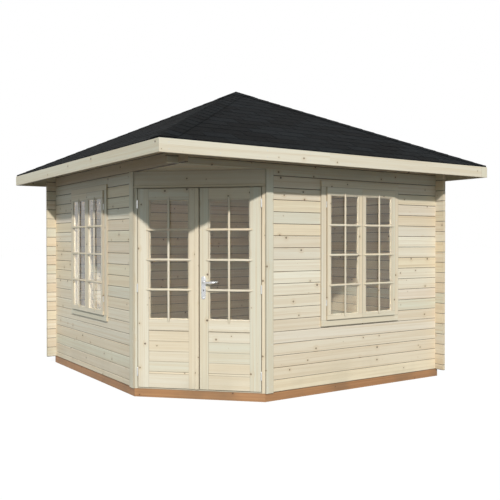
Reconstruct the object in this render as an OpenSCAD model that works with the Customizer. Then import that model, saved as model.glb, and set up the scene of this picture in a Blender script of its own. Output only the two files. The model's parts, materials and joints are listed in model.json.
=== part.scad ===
// Corner pavilion of planed logs: a square log house whose near corner is cut
// off by a double door, under a square pyramid roof that keeps all four corners.
// X and Y run along the log walls, Z is up, and the origin is on the ground
// under the roof's point. The cut corner looks towards -X -Y.

/* [Plan] */
// Outer width of the square plan, across the log walls
house_w = 3280; // [2900:10:4000]
// Length taken off two sides where the door wall crosses the corner
corner_cut = 915; // [900:5:1100]

/* [Logs] */
// Thickness of a log
log_t = 34; // [28:1:44]
// Cover height of one course of logs
log_h = 114; // [95:1:137]
// Courses from the bearers to the roof
courses = 21; // [18:1:25]
// Bevel along the edges of a log
log_bevel = 5; // [2:0.5:8]
// Height of the tongue on top of a log
tongue_h = 7; // [4:1:10]
// Width of the tongue on top of a log
tongue_w = 11; // [8:1:14]
// Length of a log's end past the wall that it crosses
stub = 110; // [60:5:150]

/* [Base] */
// Height of the bearers that lie on the ground
base_h = 80; // [45:5:120]
// Width of a bearer
bearer_w = 60; // [50:1:90]
// Number of joists between the bearers
joist_count = 3; // [2:1:5]
// Thickness of the floor boards
floor_t = 19; // [15:1:28]

/* [Roof] */
// Pitch of the four roof slopes, in degrees
roof_pitch = 25; // [15:1:35]
// Reach of the eaves past the log walls, to the face of the fascia
overhang = 375; // [200:5:500]
// Thickness of the roof boards
deck_t = 19; // [15:1:28]
// Thickness of the shingles
shingle_t = 5; // [3:0.5:8]
// Height of a fascia board at its outer face
fascia_h = 112; // [90:1:160]
// Thickness of a fascia board
fascia_t = 19; // [15:1:28]
// Width of a hip rafter
rafter_w = 45; // [35:1:60]
// Depth of a hip rafter
rafter_h = 95; // [70:1:140]
// Width of the cap over the roof's point
apex_cap_w = 300; // [200:10:500]

/* [Windows] */
// Distance from the square's near corner to the middle of a window
window_u = 2114; // [1950:1:2350]
// Width of the hole in the logs
window_w = 985; // [800:5:1100]
// Thickness of the lining in the hole
lining_t = 22; // [18:1:30]
// Width of the casing boards round a window
casing_w = 62; // [50:1:80]
// Thickness of the casing boards
casing_t = 16; // [12:1:24]
// Width of the stiles and the bottom rail of a sash
sash_w = 46; // [36:1:60]
// Height of a sash's top rail
sash_top_h = 76; // [46:1:90]
// Thickness of a sash
sash_t = 40; // [34:1:46]
// How far a sash stands in front of its casing
sash_stand = 16; // [8:1:20]

/* [Doors] */
// Thickness of a door leaf
leaf_t = 40; // [34:1:48]
// Width of a leaf's outer stile and top rail
stile_w = 110; // [95:1:130]
// Height of the solid panel's field in a leaf
panel_h = 421; // [350:1:500]
// Height of the rail under the glass
lock_rail_h = 106; // [90:1:150]
// Height of a leaf's bottom rail
bottom_rail_h = 136; // [100:1:170]
// Height of the lever's spindle above the ground
lever_z = 1120; // [950:5:1250]
// Length of the lever from its spindle
lever_l = 112; // [90:1:130]

/* [Hidden] */

$fn = 48;

// Clearances: between stacked or butted pieces of wood, and round a fitted pane
seat_gap = 0.3;
pane_gap = 1;
// Clearance round a moving leaf, and round the lever's spindle
leaf_gap = 6;
spindle_gap = 0.1;
// Longer than any piece, for cuts that go right through
far = 12000;
// Overshoot of a cut past the face that it opens
over = 5;
// Share of a course within which a height counts as being at a joint
joint_share = 0.01;

pine = "wheat";
brown = "sienna";
steel = "silver";

// ---- derived sizes -------------------------------------------------------

half_w = house_w / 2;
wall_top = base_h + courses * log_h;
// The logs stop short of the corner post, which fills the blunt corner
post_reach = 20;
wall_start = corner_cut + post_reach;
joist_inset = 95;
// Logs above this height run on to the square corner
porch_courses = 2.5;
soffit_z = base_h + (courses - porch_courses) * log_h;
// Heights of the window holes, whole courses apart
sill_courses = 5.5;
lintel_courses = 3.5;
hole_z0 = base_h + sill_courses * log_h;
hole_z1 = base_h + (courses - lintel_courses) * log_h;
hole_u0 = window_u - window_w / 2;
hole_u1 = window_u + window_w / 2;

// Underside of the roof boards at the outer face of the walls
plate_rise = 12;
under_z = wall_top + plate_rise;
rise = tan(roof_pitch);
roof_half = half_w + overhang;
deck_top = deck_t / cos(roof_pitch);
shingle_low = (deck_t + seat_gap) / cos(roof_pitch);
shingle_top = (deck_t + seat_gap + shingle_t) / cos(roof_pitch);
cap_low = shingle_top + seat_gap;
cap_t = 5;
shingle_set_in = 8;
fascia_z0 = under_z - overhang * rise + deck_top - fascia_h;
apex_under = under_z + half_w * rise;
king_w = 90;
king_h = 190;
// Joints of the right-hand fascia, from the back wall and from its far end
fascia_back = 1894;
fascia_end = 96;

// Door wall: s runs along it from its middle, n runs inwards from its face
door_half = corner_cut / sqrt(2);
jamb_face = 31;
jamb_d = 70;
stop_w = 14;
open_half = door_half - jamb_face;
leaf_half = open_half - leaf_gap;
stop_n = leaf_t + 5;
threshold_h = 9;
threshold_set = 6;
leaf_z0 = base_h + threshold_h + leaf_gap;
// The door head is a little under one and a half courses high
head_courses = 1.4123;
head_z0 = soffit_z - head_courses * log_h;
leaf_z1 = head_z0 - leaf_gap;
drip_h = 18;
drip_d = 20;
drip_fall = 6;
// Depth of a corner post behind the end of the wall, and width of the trim beside it
post_wing = 48;
trim_w = 84;
porch_board_t = 16;
// The leaves meet a little to the right of the middle, with room to swing
meet_s = 4;
meet_gap = 7;

// Door glass and its seat
glass_t = 4;
rebate = 9;
meet_stile = 94;
glass_z0 = leaf_z0 + bottom_rail_h + panel_h + lock_rail_h;
glass_z1 = leaf_z1 - stile_w;
panel_t = 16;
strip_w = 39;
strip_t = 12;
strip_bevel = 4;

// Hinges: barrels in front of the gap between leaf and jamb
barrel_r = 7.5;
barrel_h = 75;
pin_r = 3.5;
pin_fit = 0.08;
knuckle_gap = 1;
hinge_s = leaf_half + leaf_gap / 2;
hinge_n = -9;
hinge_plate_t = 2;
hinge_plate_n = 34;
// Depth of a plate's root in its barrel, and what is left past each end of the pin
plate_root = 4;
pin_end = 4;
hinge_margin = 150;
hinge_z = [leaf_z0 + hinge_margin, (leaf_z0 + leaf_z1) / 2, leaf_z1 - hinge_margin];

// Lever furniture on the right leaf
lever_s = 50;
plate_w = 44;
plate_h = 220;
plate_t = 7;
plate_drop = 160;
spindle_r = 8;
lever_r = 8;
lever_neck = 34;
bore_gap = 1;

// ---- shared shapes -------------------------------------------------------

// Corners of the five-sided plan, moved inwards by d from every wall
function plan_points(d) =
    let (h = half_w - d, k = corner_cut - house_w + d * sqrt(2))
    [[h, -h], [h, h], [-h, h], [-h, k + h], [k + h, -h]];

// Puts a shape drawn in door coordinates (s, n, z) into place
module on_door_wall() {
    shift = (corner_cut - house_w) / 2;
    translate([shift, shift, 0])
        rotate([0, 0, -45])
            children();
}

// Wall coordinates: u from the square's near corner, v inwards from the face
module on_right_wall() {
    translate([-half_w, -half_w, 0]) children();
}

module on_left_wall() {
    mirror([1, -1, 0]) on_right_wall() children();
}

module on_rear_left_wall() {
    mirror([0, 1, 0]) on_right_wall() children();
}

module on_rear_right_wall() {
    mirror([1, -1, 0]) mirror([0, 1, 0]) on_right_wall() children();
}

// A plain board from one corner to the opposite one
module board(low, high) {
    translate(low) cube(high - low);
}

// Everything above the four roof planes, raised by lift from the boards' underside
module above_slopes(lift) {
    for (a = [0, 90, 180, 270])
        rotate([0, 0, a])
            translate([-far / 2, -half_w, under_z + lift])
                rotate([roof_pitch, 0, 0])
                    translate([0, -far / 2, 0])
                        cube([far, far, far]);
}

// A pyramid shell between two lifts over the boards' underside, square in plan
module roof_shell(half, lift_low, lift_high) {
    z0 = under_z - (half - half_w) * rise + lift_low - over;
    z1 = apex_under + lift_high + over;
    difference() {
        translate([-half, -half, z0]) cube([2 * half, 2 * half, z1 - z0]);
        above_slopes(lift_high);
        difference() {
            translate([-half - over, -half - over, z0 - over])
                cube([2 * (half + over), 2 * (half + over), z1 - z0]);
            above_slopes(lift_low);
        }
    }
}

// Saw cuts along the two diagonals, which part the pieces that meet there
module hip_cuts() {
    for (a = [45, 135])
        rotate([0, 0, a])
            translate([-far / 2, -seat_gap / 2, 0])
                cube([far, seat_gap, far / 2]);
}

// ---- logs ----------------------------------------------------------------

// Outline of a log across its length: bevelled edges, groove below, tongue above
function log_outline(z0, z1, grooved, tongued) =
    let (
        b = log_bevel,
        mid = log_t / 2,
        gr = tongue_w / 2 + seat_gap,
        gh = tongue_h + seat_gap,
        tw = tongue_w / 2
    )
    concat(
        [[0, z0 + b], [b, z0]],
        grooved ? [[mid - gr, z0], [mid - gr, z0 + gh], [mid + gr, z0 + gh], [mid + gr, z0]] : [],
        [[log_t - b, z0], [log_t, z0 + b], [log_t, z1 - b], [log_t - b, z1]],
        tongued ? [[mid + tw, z1], [mid + tw, z1 + tongue_h], [mid - tw, z1 + tongue_h], [mid - tw, z1]] : [],
        [[b, z1], [0, z1 - b]]
    );

// Where a log crosses another wall, its upper and lower quarters are cut away
module crossing_cut(u, zv, is_top) {
    low = zv + log_h / 4 + seat_gap / 2;
    high = zv + 3 * log_h / 4 - seat_gap / 2;
    width = log_t + 2 * seat_gap;
    translate([u - seat_gap, -over, zv - log_h]) cube([width, log_t + 2 * over, low - zv + log_h]);
    if (!is_top)
        translate([u - seat_gap, -over, high]) cube([width, log_t + 2 * over, log_h]);
}

// Log number i of a wall from u0 to u1; half walls start half a log lower
module wall_log(i, half, u0, u1) {
    zv = base_h + log_h * (half ? i - 0.5 : i);
    is_bottom = zv <= base_h;
    is_top = zv + log_h >= wall_top;
    z0 = max(zv, base_h);
    z1 = is_top ? under_z + log_t * rise + over : zv + log_h - seat_gap;
    difference() {
        translate([u0, 0, 0])
            rotate([90, 0, 90])
                linear_extrude(u1 - u0)
                    polygon(log_outline(z0, z1, !is_bottom, !is_top));
        for (u = [0, house_w - log_t])
            if (u0 < u && u + log_t < u1)
                crossing_cut(u, zv, half && is_top);
    }
}

// Courses from the bearers up to a height, counted from the wall's lowest log
function courses_up(z, half) = (z - base_h) / log_h + (half ? 0.5 : 0);

// The log that holds a height: the upper one at a joint for first, the lower for last
function first_log(z, half) = floor(courses_up(z, half) + joint_share);
function last_log(z, half) = ceil(courses_up(z, half) - joint_share) - 1;

// Logs number i0 to i1 of a wall, less the window hole
module log_run(i0, i1, half, u0, u1) {
    difference() {
        for (i = [i0 : 1 : i1])
            wall_log(i, half, u0, u1);
        board([hole_u0, -over, hole_z0], [hole_u1, log_t + over, hole_z1]);
    }
}

function sill_last(half) = last_log(hole_z0, half);
function head_first(half) = first_log(hole_z1, half);
function long_first(half) = first_log(soffit_z, half);
function top_log(half) = courses - (half ? 0 : 1);

// Logs under a window, as far up as the last one that runs the whole length
module wall_sill(half) {
    log_run(0, sill_last(half), half, wall_start, house_w + stub);
}

module wall_near(half) {
    log_run(sill_last(half) + 1, head_first(half) - 1, half, wall_start, hole_u0);
}

module wall_far(half) {
    log_run(sill_last(half) + 1, head_first(half) - 1, half, hole_u1, house_w + stub);
}

// Logs over a window; those above the soffit run on to the square corner
module wall_upper(half) {
    log_run(head_first(half), long_first(half) - 1, half, wall_start, house_w + stub);
    difference() {
        log_run(long_first(half), top_log(half), half, -stub, house_w + stub);
        board([-far, -over, 0], [wall_start, log_t + over, soffit_z]);
    }
}

// A whole wall of logs that cross both neighbours
module plain_wall(half) {
    for (i = [0 : top_log(half)])
        wall_log(i, half, -stub, house_w + stub);
}

module right_wall_sill() {
    color(pine) on_right_wall() wall_sill(false);
}

module right_wall_near() {
    color(pine) on_right_wall() wall_near(false);
}

module right_wall_far() {
    color(pine) on_right_wall() wall_far(false);
}

module right_wall_top() {
    color(pine) difference() {
        on_right_wall() wall_upper(false);
        above_slopes(-seat_gap);
    }
}

module left_wall_sill() {
    color(pine) on_left_wall() wall_sill(true);
}

module left_wall_near() {
    color(pine) on_left_wall() wall_near(true);
}

module left_wall_far() {
    color(pine) on_left_wall() wall_far(true);
}

module left_wall_top() {
    color(pine) difference() {
        on_left_wall() wall_upper(true);
        above_slopes(-seat_gap);
    }
}

module rear_left_wall() {
    color(pine) difference() {
        on_rear_left_wall() plain_wall(false);
        above_slopes(-seat_gap);
    }
}

module rear_right_wall() {
    color(pine) difference() {
        on_rear_right_wall() plain_wall(true);
        above_slopes(-seat_gap);
    }
}

// ---- base ----------------------------------------------------------------

// Five bearers in a mitred ring, parted by saw cuts at their corners
module bearers() {
    outer = plan_points(0);
    inner = plan_points(bearer_w);
    color(brown) difference() {
        linear_extrude(base_h - seat_gap) polygon(outer);
        translate([0, 0, -over]) linear_extrude(base_h + 2 * over) polygon(inner);
        for (i = [0 : 4]) {
            d = outer[i] - inner[i];
            translate([inner[i][0], inner[i][1], 0])
                rotate([0, 0, atan2(d[1], d[0])])
                    translate([-bearer_w, -seat_gap / 2, -over])
                        cube([3 * bearer_w, seat_gap, base_h + 2 * over]);
        }
    }
}

// The first joist passes under the threshold; the last lies as far from the back
module joists() {
    first = corner_cut - joist_inset;
    pitch = (house_w - 2 * first) / (joist_count - 1);
    color(brown) intersection() {
        linear_extrude(base_h - seat_gap) polygon(plan_points(bearer_w + seat_gap));
        for (i = [0 : joist_count - 1])
            translate([-half_w, first + i * pitch - half_w - bearer_w / 2, 0])
                cube([house_w, bearer_w, base_h]);
    }
}

module floor_boards() {
    edge = plan_points(log_t + seat_gap);
    color(pine) difference() {
        translate([0, 0, base_h]) linear_extrude(floor_t) polygon(edge);
        on_door_wall() board([-house_w, -over, 0], [house_w, jamb_d + seat_gap, far]);
    }
}

// ---- door frame ----------------------------------------------------------

// Plan of a corner post: it fills the blunt corner and stops the leaf
function post_points() =
    let (
        reach = post_reach - seat_gap,
        p = [door_half + reach / sqrt(2), reach / sqrt(2)],
        q = p + post_wing * [-1, 1] / sqrt(2)
    )
    [
        [open_half, 0], [door_half, 0], p, q, [open_half, jamb_d],
        [open_half - stop_w, jamb_d], [open_half - stop_w, stop_n], [open_half, stop_n]
    ];

module post() {
    translate([0, 0, base_h]) linear_extrude(head_z0 - base_h - seat_gap) polygon(post_points());
}

module right_jamb() {
    color(pine) on_door_wall() post();
}

module left_jamb() {
    color(pine) on_door_wall() mirror([1, 0, 0]) post();
}

module door_head() {
    reach = (post_reach - seat_gap) / sqrt(2);
    p = [door_half + reach, reach];
    q = p + post_wing * [-1, 1] / sqrt(2);
    color(pine) on_door_wall() {
        translate([0, 0, head_z0])
            linear_extrude(soffit_z - head_z0 - seat_gap)
                polygon([
                    [-door_half, 0], [door_half, 0], p, q, [open_half, jamb_d],
                    [-open_half, jamb_d], [-q[0], q[1]], [-p[0], p[1]]
                ]);
        board(
            [seat_gap + stop_w - open_half, stop_n, head_z0 - stop_w],
            [open_half - stop_w - seat_gap, jamb_d, head_z0 + over]
        );
    }
}

module drip_rail() {
    color(pine) on_door_wall()
        rotate([90, 0, 90])
            translate([0, 0, -door_half])
                linear_extrude(2 * door_half)
                    polygon([
                        [-seat_gap, head_z0], [-seat_gap, head_z0 + drip_h + drip_fall],
                        [-drip_d, head_z0 + drip_h], [-drip_d, head_z0]
                    ]);
}

// The sill under the leaves, with an upstand behind them
module threshold() {
    half = open_half - seat_gap;
    front_n = stop_n - seat_gap;
    color(pine) on_door_wall() {
        board([-half, threshold_set, base_h], [half, front_n, base_h + threshold_h]);
        board(
            [stop_w - half, front_n - over, base_h],
            [half - stop_w, stop_n, base_h + threshold_h]
        );
        board(
            [stop_w - half, stop_n, base_h],
            [half - stop_w, jamb_d, leaf_z0 + stop_w / 2]
        );
    }
}

module trim_board() {
    board(
        [corner_cut, -casing_t, base_h],
        [corner_cut + trim_w, -seat_gap, soffit_z - seat_gap]
    );
}

module corner_trims() {
    color(pine) {
        on_right_wall() trim_board();
        on_left_wall() trim_board();
    }
}

// The flat boards that close the square corner over the door
module porch_soffit() {
    e = log_t + seat_gap;
    reach = corner_cut - 2 * e + jamb_d * sqrt(2);
    color(pine)
        translate([e - half_w, e - half_w, soffit_z + seat_gap])
            linear_extrude(porch_board_t)
                polygon([[0, 0], [reach, 0], [0, reach]]);
}

// ---- windows -------------------------------------------------------------

lining_u = window_w / 2 - seat_gap;
lining_in = lining_u - lining_t;
lining_z0 = hole_z0 + seat_gap;
lining_z1 = hole_z1 - seat_gap;
lining_back = 22;
lining_d = log_t + lining_back;
sash_gap = 2;
sash_front = -casing_t - sash_stand;
sash_groove = 8;
glass_back = 10;

// Four boards round an opening: two uprights between two crosspieces
module board_frame(half, z0, z1, w, top, v0, v1) {
    board([-half, v0, z0], [half, v1, z0 + w]);
    board([-half, v0, z1 - top], [half, v1, z1]);
    for (m = [0, 1])
        mirror([m, 0, 0])
            board([half - w, v0, z0 + w + seat_gap], [half, v1, z1 - top - seat_gap]);
}

module at_window() {
    translate([window_u, 0, 0]) children();
}

module casing() {
    half = lining_in + casing_w;
    z0 = lining_z0 + lining_t - casing_w;
    z1 = lining_z1 - lining_t + casing_w;
    at_window() board_frame(half, z0, z1, casing_w, casing_w, -casing_t, -seat_gap);
}

module lining() {
    at_window() board_frame(lining_u, lining_z0, lining_z1, lining_t, lining_t, 0, lining_d);
}

// Half width of one sash, and the middle of the right-hand one
sash_half = (lining_in - sash_gap - sash_gap / 2) / 2;
sash_mid = sash_half + sash_gap / 2;
sash_z0 = lining_z0 + lining_t + seat_gap;
sash_z1 = lining_z1 - lining_t - sash_gap;
glass_v = sash_front + glass_back;

// Stiles and rails, grooved for the glass
module sash() {
    inner = sash_half - sash_w + sash_groove;
    difference() {
        board_frame(sash_half, sash_z0, sash_z1, sash_w, sash_top_h, sash_front, sash_front + sash_t);
        board(
            [-inner, glass_v - glass_t / 2 - seat_gap, sash_z0 + sash_w - sash_groove],
            [inner, glass_v + glass_t / 2 + seat_gap, sash_z1 - sash_top_h + sash_groove]
        );
    }
}

module pane() {
    inner = sash_half - sash_w + sash_groove - pane_gap;
    board(
        [-inner, glass_v - glass_t / 2, sash_z0 + sash_w - sash_groove + seat_gap],
        [inner, glass_v + glass_t / 2, sash_z1 - sash_top_h + sash_groove - pane_gap]
    );
}

module sash_pair() {
    at_window()
        for (side = [-1, 1])
            translate([side * sash_mid, 0, 0]) children();
}

module right_casing() {
    color(pine) on_right_wall() casing();
}

module right_lining() {
    color(pine) on_right_wall() lining();
}

module right_sashes() {
    color(pine) on_right_wall() sash_pair() sash();
}

module right_panes() {
    color("lightblue", 0.4) on_right_wall() sash_pair() pane();
}

module left_casing() {
    color(pine) on_left_wall() casing();
}

module left_lining() {
    color(pine) on_left_wall() lining();
}

module left_sashes() {
    color(pine) on_left_wall() sash_pair() sash();
}

module left_panes() {
    color("lightblue", 0.4) on_left_wall() sash_pair() pane();
}

// ---- door leaves ---------------------------------------------------------

// A leaf from its hinged edge at s0 to its meeting edge at s1, s0 < s1
module leaf_frame(s0, s1, w0, w1) {
    inner0 = s0 + w0;
    inner1 = s1 - w1;
    glass_n = leaf_t / 2;
    rails = [
        [leaf_z0, leaf_z0 + bottom_rail_h],
        [glass_z0 - lock_rail_h, glass_z0],
        [glass_z1, leaf_z1]
    ];
    difference() {
        union() {
            board([s0, 0, leaf_z0], [inner0, leaf_t, leaf_z1]);
            board([inner1, 0, leaf_z0], [s1, leaf_t, leaf_z1]);
            for (r = rails)
                board([inner0 + seat_gap, 0, r[0]], [inner1 - seat_gap, leaf_t, r[1]]);
        }
        board(
            [inner0 - rebate, glass_n - glass_t / 2 - seat_gap, glass_z0 - rebate],
            [inner1 + rebate, glass_n + glass_t / 2 + seat_gap, glass_z1 + rebate]
        );
        board(
            [inner0 - rebate, glass_n - panel_t / 2 - seat_gap, leaf_z0 + bottom_rail_h - rebate],
            [inner1 + rebate, glass_n + panel_t / 2 + seat_gap, glass_z0 - lock_rail_h + rebate]
        );
    }
}

module leaf_sheet(s0, s1, z0, z1, t) {
    board(
        [s0 - rebate + pane_gap, leaf_t / 2 - t / 2, z0 - rebate + seat_gap],
        [s1 + rebate - pane_gap, leaf_t / 2 + t / 2, z1 + rebate - pane_gap]
    );
}

right_meet = meet_s + meet_gap;

module right_leaf_frame() {
    color(pine) on_door_wall() difference() {
        leaf_frame(right_meet, leaf_half, meet_stile - right_meet + meet_s, stile_w);
        translate([lever_s, -over, lever_z])
            rotate([-90, 0, 0])
                cylinder(r = spindle_r + bore_gap, h = leaf_t + 2 * over);
    }
}

module right_leaf_panel() {
    color(pine) on_door_wall()
        leaf_sheet(
            meet_stile + meet_s, leaf_half - stile_w,
            leaf_z0 + bottom_rail_h, glass_z0 - lock_rail_h, panel_t
        );
}

module right_leaf_glass() {
    color("lightblue", 0.4) on_door_wall()
        leaf_sheet(meet_stile + meet_s, leaf_half - stile_w, glass_z0, glass_z1, glass_t);
}

module left_leaf_frame() {
    color(pine) on_door_wall()
        leaf_frame(-leaf_half, meet_s, stile_w, meet_stile + 2 * meet_s);
}

module left_leaf_panel() {
    color(pine) on_door_wall()
        leaf_sheet(
            stile_w - leaf_half, -meet_stile - meet_s,
            leaf_z0 + bottom_rail_h, glass_z0 - lock_rail_h, panel_t
        );
}

module left_leaf_glass() {
    color("lightblue", 0.4) on_door_wall()
        leaf_sheet(stile_w - leaf_half, -meet_stile - meet_s, glass_z0, glass_z1, glass_t);
}

module meeting_strip() {
    color(pine) on_door_wall()
        translate([0, 0, leaf_z0])
            linear_extrude(leaf_z1 - leaf_z0)
                polygon([
                    [meet_s - strip_w, -seat_gap], [meet_s - strip_w, strip_bevel - strip_t],
                    [meet_s - strip_w + strip_bevel, -strip_t], [meet_s - strip_bevel, -strip_t],
                    [meet_s, strip_bevel - strip_t], [meet_s, -seat_gap]
                ]);
}

// Leaf's half of a hinge: the upper barrel, bored for the pin, and its plate
module leaf_knuckle(z) {
    zk = z + knuckle_gap / 2;
    h = (barrel_h - knuckle_gap) / 2;
    difference() {
        union() {
            translate([hinge_s, hinge_n, zk]) cylinder(r = barrel_r, h = h);
            board(
                [hinge_s - leaf_gap / 2 + seat_gap, hinge_n + plate_root, zk],
                [hinge_s - leaf_gap / 2 + hinge_plate_t, hinge_plate_n, zk + h]
            );
        }
        translate([hinge_s, hinge_n, zk - over])
            cylinder(r = pin_r + pin_fit, h = h - pin_end + over);
    }
}

// Frame's half of a hinge: the lower barrel with its pin and plate
module jamb_knuckle(z) {
    zk = z - barrel_h / 2;
    h = (barrel_h - knuckle_gap) / 2;
    translate([hinge_s, hinge_n, zk]) cylinder(r = barrel_r, h = h);
    translate([hinge_s, hinge_n, zk]) cylinder(r = pin_r, h = barrel_h - 2 * pin_end);
    board(
        [hinge_s + leaf_gap / 2 - hinge_plate_t, hinge_n + plate_root, zk],
        [hinge_s + leaf_gap / 2 - seat_gap, hinge_plate_n, zk + h]
    );
}

module right_leaf_hinges() {
    color(steel) on_door_wall() for (z = hinge_z) leaf_knuckle(z);
}

module left_leaf_hinges() {
    color(steel) on_door_wall() mirror([1, 0, 0]) for (z = hinge_z) leaf_knuckle(z);
}

module jamb_hinges() {
    color(steel) on_door_wall()
        for (m = [0, 1])
            mirror([m, 0, 0])
                for (z = hinge_z) jamb_knuckle(z);
}

// Plates on both faces of the right leaf, bored for the lever's spindle
module lever_plates() {
    low = lever_z - plate_drop;
    color(steel) on_door_wall() difference() {
        union() {
            board([lever_s - plate_w / 2, -plate_t, low], [lever_s + plate_w / 2, -seat_gap, low + plate_h]);
            board(
                [lever_s - plate_w / 2, leaf_t + seat_gap, low],
                [lever_s + plate_w / 2, leaf_t + plate_t, low + plate_h]
            );
        }
        translate([lever_s, -far / 2, lever_z])
            rotate([-90, 0, 0])
                cylinder(r = spindle_r + spindle_gap, h = far);
    }
}

// Spindle with a lever at each end
module door_lever() {
    reach = plate_t + lever_neck;
    color(steel) on_door_wall() translate([lever_s, 0, lever_z]) {
        translate([0, -reach, 0])
            rotate([-90, 0, 0])
                cylinder(r = spindle_r, h = leaf_t + 2 * reach);
        for (n = [-reach, leaf_t + reach])
            translate([0, n, 0]) {
                rotate([0, 90, 0]) cylinder(r = lever_r, h = lever_l);
                sphere(r = lever_r);
                translate([lever_l, 0, 0]) sphere(r = lever_r);
            }
    }
}

// ---- roof ----------------------------------------------------------------

// A rafter under each hip, backed to both slopes, from the corner to the king block
module hip_rafters() {
    run = (half_w - log_t - seat_gap) * sqrt(2);
    start = king_w / 2 + seat_gap;
    fall = rise / sqrt(2);
    inside = half_w - log_t - seat_gap;
    color(pine) difference() {
        intersection() {
            for (a = [45, 135, 225, 315])
                rotate([0, 0, a])
                    rotate([90, 0, 0])
                        translate([0, 0, -rafter_w / 2])
                            linear_extrude(rafter_w)
                                polygon([
                                    [start, apex_under - start * fall],
                                    [run, apex_under - run * fall],
                                    [run, apex_under - run * fall - rafter_h],
                                    [start, apex_under - start * fall - rafter_h]
                                ]);
            translate([-inside, -inside, 0]) cube([2 * inside, 2 * inside, far]);
        }
        above_slopes(-seat_gap);
    }
}

module king_block() {
    color(pine) difference() {
        rotate([0, 0, 45])
            translate([-king_w / 2, -king_w / 2, apex_under - king_h])
                cube([king_w, king_w, king_h]);
        above_slopes(-seat_gap);
    }
}

module roof_boards() {
    color(pine) difference() {
        roof_shell(roof_half - fascia_t - seat_gap, 0, deck_top);
        hip_cuts();
    }
}

module roof_shingles() {
    color("dimgray") difference() {
        roof_shell(roof_half - shingle_set_in, shingle_low, shingle_top);
        hip_cuts();
    }
}

module apex_cap() {
    color("dimgray") roof_shell(apex_cap_w / 2, cap_low, cap_low + cap_t / cos(roof_pitch));
}

// Four mitred boards; the right-hand one is made up of three lengths
module fascias() {
    joints = [house_w - fascia_back, house_w + overhang - fascia_end];
    inner = roof_half - fascia_t;
    color(pine) difference() {
        translate([-roof_half, -roof_half, fascia_z0])
            cube([2 * roof_half, 2 * roof_half, 2 * fascia_h]);
        translate([-inner, -inner, fascia_z0 - over])
            cube([2 * inner, 2 * inner, 2 * fascia_h + 2 * over]);
        above_slopes(deck_top);
        hip_cuts();
        for (u = joints)
            translate([u - half_w, -roof_half - over, 0])
                cube([seat_gap, fascia_t + 2 * over, far]);
    }
}

// ---- nodes ---------------------------------------------------------------

bearers();
joists();
floor_boards();
right_wall_sill();
right_wall_near();
right_wall_far();
right_wall_top();
left_wall_sill();
left_wall_near();
left_wall_far();
left_wall_top();
rear_left_wall();
rear_right_wall();
right_jamb();
left_jamb();
door_head();
drip_rail();
threshold();
corner_trims();
porch_soffit();
right_casing();
right_lining();
right_sashes();
right_panes();
left_casing();
left_lining();
left_sashes();
left_panes();
right_leaf_frame();
right_leaf_panel();
right_leaf_glass();
right_leaf_hinges();
left_leaf_frame();
left_leaf_panel();
left_leaf_glass();
left_leaf_hinges();
meeting_strip();
jamb_hinges();
lever_plates();
door_lever();
hip_rafters();
king_block();
roof_boards();
roof_shingles();
apex_cap();
fascias();
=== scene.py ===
"""Looks of a corner pavilion of planed logs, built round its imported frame.

Every length is in metres. A wall's own axes are a along the wall, b inwards
from its outer face and c upwards; a roof slope's are a along the eaves, b up
the slope and c straight up.
"""

from __future__ import annotations

import json
import logging
import math
import random
from collections.abc import Iterable, Sequence
from dataclasses import dataclass, field
from enum import Enum

import bmesh
import bpy
import numpy as np
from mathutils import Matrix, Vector

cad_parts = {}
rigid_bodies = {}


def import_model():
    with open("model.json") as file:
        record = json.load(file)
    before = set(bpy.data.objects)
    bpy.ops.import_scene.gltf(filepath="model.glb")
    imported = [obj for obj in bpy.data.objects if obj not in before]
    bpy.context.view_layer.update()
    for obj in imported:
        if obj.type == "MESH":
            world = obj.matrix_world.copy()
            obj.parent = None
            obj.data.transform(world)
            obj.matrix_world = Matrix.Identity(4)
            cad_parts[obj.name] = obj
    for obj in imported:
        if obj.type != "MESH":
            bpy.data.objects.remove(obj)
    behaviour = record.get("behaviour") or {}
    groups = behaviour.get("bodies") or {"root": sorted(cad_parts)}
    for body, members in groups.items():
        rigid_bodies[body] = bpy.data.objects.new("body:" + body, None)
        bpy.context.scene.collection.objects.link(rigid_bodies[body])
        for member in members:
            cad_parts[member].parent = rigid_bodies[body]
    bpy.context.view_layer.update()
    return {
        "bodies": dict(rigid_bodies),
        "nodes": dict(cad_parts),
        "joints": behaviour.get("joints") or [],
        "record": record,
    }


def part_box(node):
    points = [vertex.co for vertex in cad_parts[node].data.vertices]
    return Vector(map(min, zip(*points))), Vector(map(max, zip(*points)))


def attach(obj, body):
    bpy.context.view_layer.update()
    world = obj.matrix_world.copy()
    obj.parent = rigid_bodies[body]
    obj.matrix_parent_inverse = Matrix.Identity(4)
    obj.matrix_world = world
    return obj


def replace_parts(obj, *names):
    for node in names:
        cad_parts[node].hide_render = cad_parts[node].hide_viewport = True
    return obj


LOG = logging.getLogger("pavilion")

Point = tuple[float, float]
Box = tuple[float, float, float, float]
Colour = tuple[float, float, float]

UP = Vector((0.0, 0.0, 1.0))
HOUSE = "house"
LOG_LOOK = "logs"
WELDS_PER_METRE = 20000.0  # corners of one solid agree to a twentieth of a millimetre
SKIN = 0.0005  # how far a part laid on a face reaches into it


def colour(red: int, green: int, blue: int) -> Colour:
    """A colour given in 0 to 255 as it shows, as the linear values a shader takes."""
    return tuple((v / 255) ** 2.2 for v in (red, green, blue))


def colours(*shades: tuple[int, int, int]) -> tuple[Colour, ...]:
    """Several colours given in 0 to 255."""
    return tuple(colour(*shade) for shade in shades)


class Wall(Enum):
    """The walls that pieces are laid out along."""

    DOOR = "door"
    RIGHT = "right"
    LEFT = "left"


class Hand(Enum):
    """A door leaf, and which way the door wall's own axis runs towards its hinges."""

    RIGHT = 1
    LEFT = -1


# ---- geometry --------------------------------------------------------------


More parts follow.
